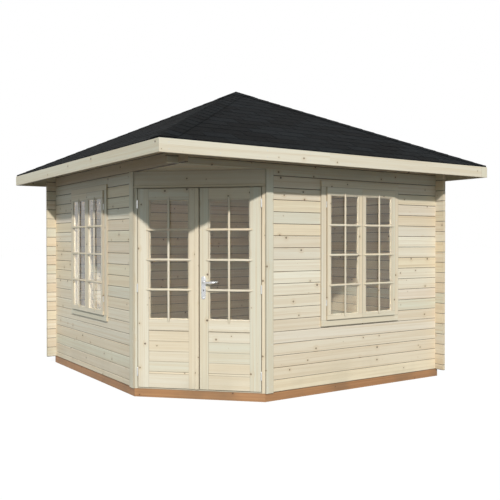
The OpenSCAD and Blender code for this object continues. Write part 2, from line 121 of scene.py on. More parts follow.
@dataclass(frozen=True)
class Axes:
    """Three directions and an origin to build along."""

    origin: Vector
    a: Vector
    b: Vector
    c: Vector

    def at(self, a: float, b: float, c: float) -> Vector:
        """The point that lies a, b and c along the axes."""
        return self.origin + self.a * a + self.b * b + self.c * c

    def directions(self) -> tuple[Vector, Vector, Vector]:
        """The three directions alone."""
        return self.a, self.b, self.c

    def flat(self) -> Axes:
        """The same axes with b upwards and c inwards, to lay outlines on a wall."""
        return Axes(self.origin, self.a, self.c, self.b)


@dataclass(frozen=True)
class Span:
    """A node's reach along each of a wall's axes."""

    low: Vector
    high: Vector

    @classmethod
    def of(cls, node: bpy.types.Object, axes: Axes) -> Span:
        """Measures a node along square axes.

        Args:
            node: a node of the frame.
            axes: the axes to measure along.

        Returns:
            The node's lowest and highest coordinate on each axis.
        """
        directions = np.array([list(d) for d in axes.directions()])
        places = (points_of(node) - np.array(axes.origin)) @ directions.T
        return cls(Vector(places.min(0)), Vector(places.max(0)))


def points_of(node: bpy.types.Object) -> np.ndarray:
    """Every vertex of an object's mesh, one row each."""
    places = np.zeros(len(node.data.vertices) * 3)
    node.data.vertices.foreach_get("co", places)
    return places.reshape(-1, 3)


def compass(turn: float) -> tuple[Vector, Vector]:
    """A level direction turned anticlockwise from X, and the one to its right."""
    cosine, sine = math.cos(turn), math.sin(turn)
    return Vector((cosine, sine, 0)), Vector((sine, -cosine, 0))


def rectangle(x0: float, x1: float, y0: float, y1: float) -> list[Point]:
    """The corners of an upright rectangle, anticlockwise."""
    return [(x0, y0), (x1, y0), (x1, y1), (x0, y1)]


def area_of(outline: Sequence[Point]) -> float:
    """Signed area of an outline, positive where its corners run anticlockwise."""
    pairs = zip(outline, [*outline[1:], *outline[:1]])
    return sum(p[0] * q[1] - q[0] * p[1] for p, q in pairs) / 2


def clip(outline: Sequence[Point], x: float, y: float, most: float) -> list[Point]:
    """Cuts a convex outline back to one side of a line.

    Args:
        outline: the corners in order.
        x: the line's factor of a corner's first coordinate.
        y: the line's factor of its second.
        most: the largest sum of the two that stays.

    Returns:
        The corners of what stays, or an empty list.
    """
    kept = []
    for i, p in enumerate(outline):
        q = outline[(i + 1) % len(outline)]
        here, there = x * p[0] + y * p[1] - most, x * q[0] + y * q[1] - most
        if here <= 0:
            kept.append(p)
        if (here < 0 < there) or (there < 0 < here):
            t = here / (here - there)
            kept.append((p[0] + t * (q[0] - p[0]), p[1] + t * (q[1] - p[1])))
    return kept


def pruned(outline: Sequence[Point], least: float = 1e-4) -> list[Point]:
    """Drops corners that lie closer than least to the one before."""
    kept = [p for i, p in enumerate(outline) if math.dist(p, outline[i - 1]) > least]
    return kept if len(kept) > 2 else []


def trimmed(outline: Sequence[Point], edge: Sequence[Point]) -> list[Point]:
    """Cuts a convex outline back to what lies inside another, anticlockwise one."""
    for (x0, y0), (x1, y1) in zip(edge, [*edge[1:], edge[0]]):
        outline = clip(outline, y1 - y0, x0 - x1, (y1 - y0) * x0 - (x1 - x0) * y0)
    return pruned(outline)


def inset(outline: Sequence[Point], by: float) -> list[Point]:
    """Moves every edge of a convex outline inwards.

    Args:
        outline: the corners in order.
        by: how far each edge moves.

    Returns:
        The corners of the smaller outline, in the same order.
    """
    side = 1.0 if area_of(outline) > 0 else -1.0
    lines = []
    for i, p in enumerate(outline):
        q = outline[(i + 1) % len(outline)]
        run = math.hypot(q[0] - p[0], q[1] - p[1]) or 1.0
        normal = (-(q[1] - p[1]) / run * side, (q[0] - p[0]) / run * side)
        lines.append((*normal, normal[0] * p[0] + normal[1] * p[1] + by))
    corners = []
    for i, p in enumerate(outline):
        (a, b, c), (d, e, f) = lines[i - 1], lines[i]
        det = a * e - b * d
        met = abs(det) >= 1e-9
        corners.append(((c * e - b * f) / det, (a * f - c * d) / det) if met else p)
    return corners


def strips(
    outline: Sequence[Point], cover: float, gap: float, start: float | None = None
) -> Iterable[list[Point]]:
    """Saws a convex outline into boards that run along its first axis.

    Args:
        outline: the corners of the whole surface.
        cover: how much of the second axis a board covers.
        gap: the open joint between two boards.
        start: where the first board begins, or None for the outline's edge.

    Yields:
        Each board's own outline.
    """
    low = min(p[1] for p in outline) if start is None else start
    high = max(p[1] for p in outline)
    for i in range(math.ceil((high - low) / cover)):
        board = clip(outline, 0, -1, -(low + i * cover + gap / 2))
        board = pruned(clip(board, 0, 1, low + (i + 1) * cover - gap / 2))
        if board:
            yield board


# ---- meshes ----------------------------------------------------------------


class Grain:
    """Gives each solid of a mesh its own wood: how its grain runs, and its tone."""

    OFFSETS = (3, 90)  # where along an endless plank a solid may be cut from
    CUT_END = 0.8  # a face turned further than this towards the grain is an end

    def __init__(self, sets: Sequence[tuple[Vector, Vector, Vector]]) -> None:
        """Keeps the sets of square directions that boards may lie along."""
        self.sets = [np.array([list(d) for d in three]) for three in sets]

    @staticmethod
    def solids(mesh: bpy.types.Mesh, places: np.ndarray) -> np.ndarray:
        """Finds which vertices belong to one solid.

        Args:
            mesh: a mesh whose faces may not share their corners.
            places: its vertices.

        Returns:
            One label for each vertex, the same throughout a solid.
        """
        keys = np.round(places * WELDS_PER_METRE).astype(np.int64)
        _, corner = np.unique(keys, axis=0, return_inverse=True)
        corner = corner.reshape(-1)
        ends = np.zeros(len(mesh.edges) * 2, np.int64)
        mesh.edges.foreach_get("vertices", ends)
        left, right = corner[ends.reshape(-1, 2)].T
        label = np.arange(corner.max() + 1)
        while True:
            before = label.copy()
            least = np.minimum(label[left], label[right])
            np.minimum.at(label, left, least)
            np.minimum.at(label, right, least)
            label = label[label]
            if (label == before).all():
                return label[corner]

    def write(self, piece: bpy.types.Object) -> None:
        """Writes the grain's coordinates and each solid's numbers to the mesh.

        Args:
            piece: the object; its mesh gets attributes, and nothing else changes.
        """
        mesh, places = piece.data, points_of(piece)
        labels = self.solids(mesh, places)
        rows, numbers, along, halves = (np.zeros_like(places) for _ in range(4))
        chance = random.Random(piece.name)
        found = np.unique(labels)
        for label in sorted(found, key=lambda n: tuple(places[labels == n].mean(0).round(3))):
            mine = labels == label
            reaches = [np.ptp(places[mine] @ s.T, axis=0) for s in self.sets]
            best = int(np.argmin([r.prod() for r in reaches]))
            axes = self.sets[best][np.argsort(-reaches[best], kind="stable")]
            own = places[mine] @ axes.T
            own -= (own.min(0) + own.max(0)) / 2
            halves[mine] = np.ptp(own, axis=0) / 2
            own[:, 0] += chance.uniform(*self.OFFSETS)
            rows[mine] = own
            numbers[mine] = (chance.random(), chance.random(), 0)
            along[mine] = axes[0]
        corners = np.zeros(len(mesh.loops), np.int64)
        mesh.loops.foreach_get("vertex_index", corners)
        normals = np.array([list(p.normal) for p in mesh.polygons])
        normals = np.repeat(normals, [p.loop_total for p in mesh.polygons], axis=0)
        plank = numbers[corners]
        plank[:, 2] = np.abs((normals * along[corners]).sum(1)) > self.CUT_END
        self.store(mesh, "grain", "POINT", rows)
        self.store(mesh, "plank", "CORNER", plank)
        self.store(mesh, "reach", "POINT", halves)

    @staticmethod
    def store(mesh: bpy.types.Mesh, name: str, domain: str, rows: np.ndarray) -> None:
        """Writes one vector attribute to a mesh."""
        made = mesh.attributes.new(name, "FLOAT_VECTOR", domain)
        made.data.foreach_set("vector", rows.astype(np.float32).ravel())


class Builder:
    """Collects the solids of one piece, then makes its object."""

    # A glazing bar's section, as shares of its half width and of its height
    BAR_SHAPE = (
        (-1, 0), (-1, 0.38), (-0.55, 0.92), (0, 1), (0.55, 0.92), (1, 0.38), (1, 0)
    )
    # How a bar's end grows: the share of its nose, and of its section
    BAR_NOSE = ((0, 0.45), (0.3, 0.8), (1, 1))

    def __init__(self, name: str) -> None:
        """Starts an empty piece."""
        self.name = name
        self.bm = bmesh.new()

    def loft(self, rings: Iterable[Iterable[Vector]]) -> None:
        """Joins rings of as many points each into one closed solid, capped at both ends."""
        rows = [[self.bm.verts.new(p) for p in ring] for ring in rings]
        for one, two in zip(rows, rows[1:]):
            for i in range(len(one)):
                j = (i + 1) % len(one)
                self.bm.faces.new((one[i], one[j], two[j], two[i]))
        self.bm.faces.new(rows[0])
        self.bm.faces.new(rows[-1])

    def slab(
        self, outline: Sequence[Point], axes: Axes, low: float, high: float, ease: float
    ) -> None:
        """Raises an outline into a flat board with eased edges on its upper face.

        Args:
            outline: corners along the first two axes.
            axes: the axes to build along.
            low: where the plain face lies on the third axis.
            high: where the eased face lies; it may be lower than low.
            ease: how far the edges are taken back.
        """
        turn = math.copysign(ease, high - low)
        levels = ((outline, low), (outline, high - turn), (inset(outline, ease), high))
        self.loft([axes.at(*p, c) for p in ring] for ring, c in levels)

    def bar(self, axes: Axes, ends: Point, centre: Point, size: Point, nose: float) -> None:
        """Adds a glazing bar with a moulded section and shaped ends.

        Args:
            axes: the bar runs along the first axis, and stands out along the second.
            ends: where it begins and ends along the first axis.
            centre: its middle along the third axis, and its back along the second.
            size: its width along the third axis, and how far it stands out.
            nose: the length of each shaped end.
        """
        half, out = size[0] / 2, size[1]
        stations = [(ends[0] + t * nose, k) for t, k in self.BAR_NOSE]
        stations += [(ends[1] - t * nose, k) for t, k in reversed(self.BAR_NOSE)]
        self.loft(
            [axes.at(a, centre[1] + y * out * k, centre[0] + x * half * k)
             for x, y in self.BAR_SHAPE]
            for a, k in stations
        )

    def border(self, axes: Axes, box: Box, profile: Sequence[Point]) -> None:
        """Runs a moulding round the inside of a rectangular opening, mitred.

        Args:
            axes: the opening lies along the first and third axes.
            box: its lowest and highest first coordinate, then third.
            profile: corners as (in from the edge, along the second axis).
        """
        a0, a1, c0, c1 = box
        turns = ((a0, c0, 1, 1), (a1, c0, -1, 1), (a1, c1, -1, -1), (a0, c1, 1, -1))
        for pair in zip(turns, (*turns[1:], turns[0])):
            self.loft(
                [axes.at(a + x * k, n, c + z * k) for k, n in profile] for a, c, x, z in pair
            )

    def lathe(self, axes: Axes, profile: Iterable[Point], sides: int) -> None:
        """Turns a profile of (place along the first axis, radius) round that axis."""
        self.sweep([(axes.at(a, 0, 0), axes.b, axes.c, r, r) for a, r in profile], sides)

    def sweep(
        self, path: Iterable[tuple[Vector, Vector, Vector, float, float]], sides: int
    ) -> None:
        """Sweeps an oval along a path.

        Args:
            path: each stop's middle, two directions across it, and the two radii.
            sides: number of facets round.
        """
        turns = [2 * math.pi * i / sides for i in range(sides)]
        self.loft(
            [p + u * (r * math.cos(t)) + w * (s * math.sin(t)) for t in turns]
            for p, u, w, r, s in path
        )

    def finish(
        self, body: str, slot: str, look: bpy.types.Material, grain: Grain, smooth: float = 35.0
    ) -> bpy.types.Object:
        """Makes the object, dresses it and sets it on its body.

        Args:
            body: the body that it moves with.
            slot: the record's material slot; not used.
            look: its material.
            grain: writes the wood's coordinates.
            smooth: faces that meet at less than this many degrees shade as one.

        Returns:
            The new object.
        """
        bmesh.ops.recalc_face_normals(self.bm, faces=self.bm.faces)
        mesh = bpy.data.meshes.new(self.name)
        self.bm.to_mesh(mesh)
        self.bm.free()
        mesh.shade_smooth()
        mesh.set_sharp_from_angle(angle=math.radians(smooth))
        mesh.materials.append(look)
        piece = bpy.data.objects.new(self.name, mesh)
        bpy.context.scene.collection.objects.link(piece)
        grain.write(piece)
        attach(piece, body)
        LOG.info("%s: %d faces, rides on %s", self.name, len(mesh.polygons), body)
        return piece


# ---- shader groups ---------------------------------------------------------

Socket = bpy.types.NodeSocket
Value = float | int | Colour | Socket


def named(sockets: Iterable[Socket], name: str) -> Socket:
    """The socket whose name reads so in small letters, with _ for each space."""
    return next(s for s in sockets if s.name.lower().replace(" ", "_") == name)


class Graph:
    """A node tree, with short ways to add and join its nodes."""

    def __init__(self, tree: bpy.types.NodeTree) -> None:
        """Keeps the tree."""
        self.tree = tree

    def put(self, socket: Socket, value: Value) -> None:
        """Links a socket to another, or sets its own value."""
        if isinstance(value, bpy.types.NodeSocket):
            self.tree.links.new(value, socket)
        elif isinstance(value, tuple) and len(socket.default_value) == 4:
            socket.default_value = (*value, 1.0)
        else:
            socket.default_value = value

    def add(self, kind: str, inputs: dict[str | int, Value], **settings: object) -> bpy.types.Node:
        """Adds a node.

        Args:
            kind: the node's type.
            inputs: a value or a socket for each named or numbered input.
            **settings: properties of the node.

        Returns:
            The new node.
        """
        node = self.tree.nodes.new(kind)
        for name, value in settings.items():
            setattr(node, name, value)
        for key, value in inputs.items():
            self.put(node.inputs[key], value)
        return node

    def math(self, operation: str, *values: Value) -> Socket:
        """The result of a Math node."""
        return self.add("ShaderNodeMath", dict(enumerate(values)), operation=operation).outputs[0]

    def times(self, one: Value, two: Value) -> Socket:
        """The product of two values."""
        return self.math("MULTIPLY", one, two)

    def plus(self, one: Value, two: Value) -> Socket:
        """The sum of two values."""
        return self.math("ADD", one, two)

    def less(self, one: Value, two: Value) -> Socket:
        """One value less another."""
        return self.math("SUBTRACT", one, two)

    def scaled(self, value: Value, factor: Value, offset: Value) -> Socket:
        """A value times a factor, plus an offset."""
        return self.math("MULTIPLY_ADD", value, factor, offset)

    def size(self, value: Value) -> Socket:
        """A value without its sign."""
        return self.math("ABSOLUTE", value)

    def mix(self, share: Value, one: Value, two: Value) -> Socket:
        """A colour between two, by share."""
        node = self.add("ShaderNodeMix", {}, data_type="RGBA")
        values = {("Factor", "VALUE"): share, ("A", "RGBA"): one, ("B", "RGBA"): two}
        for wanted, value in values.items():
            self.put(next(s for s in node.inputs if (s.name, s.type) == wanted), value)
        return next(s for s in node.outputs if s.type == "RGBA")

    def ramp(self, value: Value, start: Value, end: Value, low: Value, high: Value) -> Socket:
        """A value that eases from low to high while another goes from start to end."""
        inputs = {0: value, 1: start, 2: end, 3: low, 4: high}
        return self.add("ShaderNodeMapRange", inputs, interpolation_type="SMOOTHSTEP").outputs[0]

    def join(self, x: Value, y: Value, z: Value) -> Socket:
        """A vector of three values."""
        return self.add("ShaderNodeCombineXYZ", {0: x, 1: y, 2: z}).outputs[0]

    def split(self, vector: Value) -> tuple[Socket, Socket, Socket]:
        """The three values of a vector."""
        return tuple(self.add("ShaderNodeSeparateXYZ", {0: vector}).outputs)

    def noise(self, vector: Value, scale: float, detail: float = 2.0) -> Socket:
        """Soft noise from 0 to 1."""
        inputs = {"Vector": vector, "Scale": scale, "Detail": detail}
        return self.add("ShaderNodeTexNoise", inputs).outputs[0]

    def place(self) -> Socket:
        """Where a point lies on the object."""
        return self.add("ShaderNodeTexCoord", {}).outputs["Object"]

    def blend(self, shades: Sequence[Colour], value: Value) -> Socket:
        """A colour from a ramp of evenly spaced shades."""
        node = self.add("ShaderNodeValToRGB", {0: value})
        while len(node.color_ramp.elements) < len(shades):
            node.color_ramp.elements.new(1.0)
        for i, (stop, shade) in enumerate(zip(node.color_ramp.elements, shades)):
            stop.position = i / (len(shades) - 1)
            stop.color = (*shade, 1.0)
        return node.outputs[0]


class Effect:
    """A shader group that several finishes share, made once."""

    NAME = ""
    INPUTS: dict[str, str] = {}
    OUTPUTS: dict[str, str] = {}

    def __init__(self) -> None:
        """Builds the group."""
        self.tree = bpy.data.node_groups.new(self.NAME, "ShaderNodeTree")
        for way, sockets in (("INPUT", self.INPUTS), ("OUTPUT", self.OUTPUTS)):
            for name, kind in sockets.items():
                self.tree.interface.new_socket(name, in_out=way, socket_type=f"NodeSocket{kind}")
        inputs = self.tree.nodes.new("NodeGroupInput").outputs
        outputs = self.tree.nodes.new("NodeGroupOutput").inputs
        for name, socket in self.build(Graph(self.tree), {s.name: s for s in inputs}).items():
            self.tree.links.new(socket, outputs[name])

    def build(self, g: Graph, given: dict[str, Socket]) -> dict[str, Socket]:
        """Makes the group's nodes.

        Args:
            g: the group's tree.
            given: the group's inputs by name.

        Returns:
            The sockets for the group's outputs by name.
        """
        raise NotImplementedError

    def lay(self, graph: Graph, **values: Value) -> dict[str, Socket]:
        """Puts the group in a material.

        Args:
            graph: the material's tree.
            **values: a value for each input, its name in small letters.

        Returns:
            The group's outputs by name.
        """
        node = graph.tree.nodes.new("ShaderNodeGroup")
        node.node_tree = self.tree
        for name, value in values.items():
            graph.put(named(node.inputs, name), value)
        return {s.name: s for s in node.outputs}


class PlanedWood(Effect):
    """Growth rings, fibres and knots that follow each board's own grain."""

    NAME = "planed_wood"
    INPUTS = {
        "Grain": "Vector", "Plank": "Vector", "Ground": "Color", "Ring": "Color",
        "Knot": "Color", "Knot Size": "Float", "Ring Share": "Float",
    }
    OUTPUTS = {"Color": "Color", "Roughness": "Float", "Height": "Float"}

    KNOTS_PER_METRE = 4.4
    # A knot's heart, bark and halo, as shares of its radius
    HEART, BARK, HALO = 0.55, 1.12, 4.5
    # How uneven a knot's edge is, how finely, and how far rings bend round it
    RAGGED, RAGGED_SCALE, BEND = 0.004, 90.0, 0.75
    RING_PITCH = 0.0042
    # How far rings wander, and how far a board's middle lies from the pith
    DRIFT, PITH_ASIDE, PITH_BEHIND, PITH_LEAST = 0.05, 0.12, 0.05, 0.03
    LATE_WOOD = 2.2
    # Where each pattern begins and ends to show, and how strongly it does there
    KNOT_LUCK = (0.35, 1.0, 0.1, 1.0)
    STREAK_SHOWS = (0.38, 0.66, 0.0, 1.0)
    FIBRE_SHOWS = (0.45, 0.8, 0.0, 1.0)
    STREAK_LINES = (0.75, 0.25)
    # Roughness of the late wood, as a factor and an offset, and of a cut end
    LATE_ROUGH, END_ROUGH = (0.1, 0.52), 0.25
    # How high the fibres and the late wood stand, and how deep a knot lies
    FIBRE_HIGH, LATE_HIGH, KNOT_DEEP = 0.5, 0.5, 0.6
    # Patterns along the grain and across it, in turns per metre
    SLOW, FIBRE, STREAK = (0.9, 5.0), (7.0, 420.0), (0.7, 38.0)
    # How strongly each mark takes the ring's colour, and a knot its own
    STREAK_TINT, FIBRE_TINT, HALO_TINT = 0.22, 0.2, 0.3
    END_TINT, LEAN_TINT, KNOT_TINT = 0.45, 0.35, 0.92

    def build(self, g: Graph, given: dict[str, Socket]) -> dict[str, Socket]:
        """Makes the knots, then the rings that bend round them, then the colours."""
        along, across, deep = g.split(given["Grain"])
        _, chance, cut_end = g.split(given["Plank"])
        cells = g.add(
            "ShaderNodeTexVoronoi",
            {"Vector": g.join(along, across, 0.0), "Scale": self.KNOTS_PER_METRE},
            voronoi_dimensions="2D",
        )
        away = g.math("DIVIDE", cells.outputs["Distance"], self.KNOTS_PER_METRE)
        luck, lean, _ = g.split(cells.outputs["Color"])
        radius = g.times(g.ramp(luck, *self.KNOT_LUCK), given["Knot Size"])
        ragged = g.less(g.noise(given["Grain"], self.RAGGED_SCALE), 0.5)
        away = g.plus(away, g.times(ragged, self.RAGGED))
        inner = g.times(radius, self.HEART)
        heart = g.ramp(away, inner, g.times(radius, self.BARK), 1.0, 0.0)
        halo = g.ramp(away, inner, g.times(radius, self.HALO), 1.0, 0.0)

        # Rings bend round a knot and wander slowly along the board
        _, knot_across, _ = g.split(cells.outputs["Position"])
        bend = g.times(halo, self.BEND)
        bent = g.less(across, g.times(g.less(across, knot_across), bend))
        slow = g.join(g.times(along, self.SLOW[0]), g.times(bent, self.SLOW[1]), deep)
        drift = g.times(g.less(g.noise(slow, 1.0, 3.0), 0.5), self.DRIFT)
        pith = g.times(g.less(chance, 0.5), self.PITH_ASIDE)
        sideways = g.less(g.plus(bent, drift), pith)
        behind = g.less(deep, g.scaled(chance, self.PITH_BEHIND, self.PITH_LEAST))
        squares = [g.math("POWER", g.size(side), 2.0) for side in (sideways, behind)]
        out = g.math("SQRT", g.plus(*squares))
        wave = g.math("SINE", g.times(out, 2 * math.pi / self.RING_PITCH))
        late = g.math("POWER", g.scaled(wave, 0.5, 0.5), self.LATE_WOOD)

        fibre, wide = (
            g.noise(g.join(g.times(along, k), g.times(bent, n), g.times(deep, n)), 1.0, detail)
            for (k, n), detail in ((self.FIBRE, 2.0), (self.STREAK, 3.0))
        )
        streak = g.ramp(wide, *self.STREAK_SHOWS)
        ring = given["Ring"]
        lines = g.times(g.scaled(streak, *self.STREAK_LINES), late)
        tint = g.mix(g.times(lines, given["Ring Share"]), given["Ground"], ring)
        for mark, share in (
            (streak, self.STREAK_TINT),
            (g.ramp(fibre, *self.FIBRE_SHOWS), self.FIBRE_TINT),
            (halo, self.HALO_TINT),
            (cut_end, self.END_TINT),
        ):
            tint = g.mix(g.times(mark, share), tint, ring)
        bark = g.mix(g.times(lean, self.LEAN_TINT), given["Knot"], ring)
        tint = g.mix(g.times(heart, self.KNOT_TINT), tint, bark)

        rough = g.plus(g.scaled(late, *self.LATE_ROUGH), g.times(cut_end, self.END_ROUGH))
        raised = g.scaled(fibre, self.FIBRE_HIGH, g.times(late, self.LATE_HIGH))
        height = g.less(raised, g.times(heart, self.KNOT_DEEP))
        return {"Color": tint, "Roughness": rough, "Height": height}


class Soiling(Effect):
    """A faint soiling that is stronger low down, where rain splashes."""

    NAME = "soiling"
    INPUTS = {"Color": "Color", "Soil": "Color", "Amount": "Float"}
    OUTPUTS = {"Color": "Color", "Mask": "Float"}

    PATCH_SCALE = 2.3
    PATCH_SHOWS = (0.42, 0.7, 0.0, 1.0)
    SPLASH = (0.05, 0.45, 1.0, 0.15)  # two heights, and how soiled the wood is at each

    def build(self, g: Graph, given: dict[str, Socket]) -> dict[str, Socket]:
        """Soils in patches, less with height."""
        _, _, height = g.split(g.place())
        patches = g.ramp(g.noise(g.place(), self.PATCH_SCALE, 4.0), *self.PATCH_SHOWS)
        mask = g.times(g.times(patches, g.ramp(height, *self.SPLASH)), given["Amount"])
        return {"Color": g.mix(mask, given["Color"], given["Soil"]), "Mask": mask}


class EdgeShade(Effect):
    """Painted shade along a board's long edges: the wood is darkened where the joints between
    boards lie in shade.
    """

    NAME = "edge_shade"
    # Soil here is the colour of the painted shade in the joints.
    INPUTS = {
        "Color": "Color", "Grain": "Vector", "Reach": "Vector", "Soil": "Color",
        "Width": "Float", "Amount": "Float",
    }
    OUTPUTS = {"Color": "Color", "Mask": "Float"}

    SOLID = 0.6  # the share of the width that is shaded in full
    RAGGED, RAGGED_SCALE = 0.002, 30.0

    def build(self, g: Graph, given: dict[str, Socket]) -> dict[str, Socket]:
        """Paints the shade by how far a point lies from the board's long edge."""
        _, across, _ = g.split(given["Grain"])
        _, half, _ = g.split(given["Reach"])
        uneven = g.noise(given["Grain"], self.RAGGED_SCALE)
        left = g.plus(g.less(half, g.size(across)), g.scaled(uneven, self.RAGGED, -self.RAGGED / 2))
        near = g.ramp(left, g.times(given["Width"], self.SOLID), given["Width"], 1.0, 0.0)
        mask = g.times(near, given["Amount"])
        return {"Color": g.mix(mask, given["Color"], given["Soil"]), "Mask": mask}


class Grit(Effect):
    """Crushed slate bedded in bitumen."""

    NAME = "grit"
    INPUTS = {"Plank": "Vector", "Dark": "Color", "Light": "Color"}
    OUTPUTS = {"Color": "Color", "Height": "Float"}

    GRAINS_PER_METRE = 520.0
    WEAR_SCALE = 1.7
    PALE_GRAINS = 2.5  # a higher power leaves fewer grains pale
    GRAIN_TONE, TAB_TONE, WEAR_TONE = 0.6, 0.34, 0.4  # how much each one lightens
    TAB_MIDDLE, WEAR_MIDDLE = 0.4, 0.5

    def build(self, g: Graph, given: dict[str, Socket]) -> dict[str, Socket]:
        """Lightens the bitumen by grain, by shingle and by wear."""
        inputs = {"Vector": g.place(), "Scale": self.GRAINS_PER_METRE}
        grains = g.add("ShaderNodeTexVoronoi", inputs)
        own, _, _ = g.split(grains.outputs["Color"])
        tone, _, _ = g.split(given["Plank"])
        worn = g.noise(g.place(), self.WEAR_SCALE, 4.0)
        share = g.times(g.math("POWER", own, self.PALE_GRAINS), self.GRAIN_TONE)
        share = g.plus(share, g.times(g.less(tone, self.TAB_MIDDLE), self.TAB_TONE))
        share = g.plus(share, g.times(g.less(worn, self.WEAR_MIDDLE), self.WEAR_TONE))
        height = g.less(1.0, grains.outputs["Distance"])
        return {"Color": g.mix(share, given["Dark"], given["Light"]), "Height": height}


class Smears(Effect):
    """Faint marks left on a smooth hard surface by wiping and handling."""

    NAME = "smears"
    INPUTS = {"Least": "Float", "Most": "Float", "Scale": "Float"}
    OUTPUTS = {"Roughness": "Float", "Height": "Float"}

    SHOWS = (0.35, 0.7)  # where a mark begins and ends to show

    def build(self, g: Graph, given: dict[str, Socket]) -> dict[str, Socket]:
        """Varies the roughness in soft marks."""
        inputs = {0: g.place(), 3: given["Scale"]}
        scaled = g.add("ShaderNodeVectorMath", inputs, operation="SCALE")
        marks = g.noise(scaled.outputs[0], 1.0, 5.0)
        rough = g.ramp(marks, *self.SHOWS, given["Least"], given["Most"])
        return {"Roughness": rough, "Height": marks}


@dataclass
class Effects:
    """The shared shader groups, built once."""

    wood: PlanedWood = field(default_factory=PlanedWood)
    edges: EdgeShade = field(default_factory=EdgeShade)
    soiling: Soiling = field(default_factory=Soiling)
    grit: Grit = field(default_factory=Grit)
    smears: Smears = field(default_factory=Smears)


# ---- finishes --------------------------------------------------------------


class Coat(Graph):
    """A material in the making: its tree, its surface shader and its output."""

    def __init__(self, name: str) -> None:
        """Starts a material of the given name."""
        self.material = bpy.data.materials.new(name)
        self.material.use_nodes = True
        super().__init__(self.material.node_tree)
        self.surface = self.tree.nodes["Principled BSDF"]
        self.output = self.tree.nodes["Material Output"]

    def feed(self, **sockets: Value) -> None:
        """Links or sets inputs of the surface shader, by their names in small letters."""
        for name, value in sockets.items():
            self.put(named(self.surface.inputs, name), value)

    def read(self, attribute: str) -> Socket:
        """A vector that is stored on the mesh."""
        return self.add("ShaderNodeAttribute", {}, attribute_name=attribute).outputs["Vector"]

    def bump(self, height: Socket, depth: float, share: float) -> Socket:
        """A surface normal from a height of the given depth."""
        inputs = {"Height": height, "Distance": depth, "Strength": share}
        return self.add("ShaderNodeBump", inputs).outputs[0]


@dataclass(frozen=True)
class WoodFinish:
    """Planed or sawn softwood."""

    name: str
    tones: tuple[Colour, ...]
    ring: Colour
    knot: Colour
    soil: Colour
    # The next three set the painted shade along a board's long edges, in the joints: its colour,
    # its width and its strength.
    edge: Colour
    joint_shade_width: float = 0.004
    joint_shade_amount: float = 0.35
    knot_size: float = 0.012
    ring_share: float = 0.5
    soil_amount: float = 0.25
    relief: float = 0.0006
    relief_share: float = 0.5

    def make(self, effects: Effects) -> bpy.types.Material:
        """Builds the material from the shared shader groups."""
        coat = Coat(self.name)
        grain, plank = coat.read("grain"), coat.read("plank")
        wood = effects.wood.lay(
            coat, grain=grain, plank=plank, ground=coat.blend(self.tones, coat.split(plank)[0]),
            ring=self.ring, knot=self.knot, knot_size=self.knot_size, ring_share=self.ring_share,
        )
        # Painted shade along each board's long edges, in the joints.
        joint_shaded = effects.edges.lay(
            coat, color=wood["Color"], grain=grain, reach=coat.read("reach"), soil=self.edge,
            width=self.joint_shade_width, amount=self.joint_shade_amount,
        )
        soiled = effects.soiling.lay(
            coat, color=joint_shaded["Color"], soil=self.soil, amount=self.soil_amount
        )
        relief = coat.bump(wood["Height"], self.relief, self.relief_share)
        coat.feed(base_color=soiled["Color"], roughness=wood["Roughness"], normal=relief)
        return coat.material


@dataclass(frozen=True)
class ShingleFinish:
    """Bitumen shingles with a slate face."""

    name: str = "bitumen_slate"
    dark: Colour = colour(7, 8, 9)
    light: Colour = colour(38, 42, 45)
    roughness: float = 0.92
    gloss: float = 0.1
    relief: float = 0.0012
    relief_share: float = 0.6

    def make(self, effects: Effects) -> bpy.types.Material:
        """Builds the material from the shared shader groups."""
        coat = Coat(self.name)
        grit = effects.grit.lay(coat, plank=coat.read("plank"), dark=self.dark, light=self.light)
        relief = coat.bump(grit["Height"], self.relief, self.relief_share)
        coat.feed(base_color=grit["Color"], roughness=self.roughness, normal=relief)
        coat.feed(specular_ior_level=self.gloss)
        return coat.material


@dataclass(frozen=True)
class MetalFinish:
    """Plated steel or satin aluminium."""

    name: str
    tint: Colour
    least: float
    most: float
    scale: float
    soil: Colour = colour(120, 116, 108)
    soil_amount: float = 0.35
    relief: float = 0.0003
    relief_share: float = 0.25

    def make(self, effects: Effects) -> bpy.types.Material:
        """Builds the material from the shared shader groups."""
        coat = Coat(self.name)
        marks = effects.smears.lay(coat, least=self.least, most=self.most, scale=self.scale)
        soiled = effects.soiling.lay(coat, color=self.tint, soil=self.soil, amount=self.soil_amount)
        relief = coat.bump(marks["Height"], self.relief, self.relief_share)
        coat.feed(base_color=soiled["Color"], roughness=marks["Roughness"], normal=relief)
        coat.feed(metallic=1.0)
        return coat.material


@dataclass(frozen=True)
class GlassFinish:
    """Clear window glass that lets lamps through."""

    name: str = "clear_glass"
    tint: Colour = colour(251, 253, 252)
    soil: Colour = colour(240, 240, 232)
    soil_amount: float = 0.3
    haze: float = 0.02
    haze_scale: float = 6.0
    bending: float = 1.45

    def make(self, effects: Effects) -> bpy.types.Material:
        """Builds the material from the shared shader groups."""
        coat = Coat(self.name)
        marks = effects.smears.lay(coat, least=0.0, most=self.haze, scale=self.haze_scale)
        soiled = effects.soiling.lay(coat, color=self.tint, soil=self.soil, amount=self.soil_amount)
        coat.feed(base_color=soiled["Color"], roughness=marks["Roughness"])
        coat.feed(transmission_weight=1.0, ior=self.bending)
        shadow = coat.add("ShaderNodeLightPath", {}).outputs["Is Shadow Ray"]
        clear = coat.add("ShaderNodeBsdfTransparent", {"Color": self.tint})
        inputs = {0: shadow, 1: coat.surface.outputs[0], 2: clear.outputs[0]}
        mixed = coat.add("ShaderNodeMixShader", inputs)
        coat.put(coat.output.inputs["Surface"], mixed.outputs[0])
        return coat.material


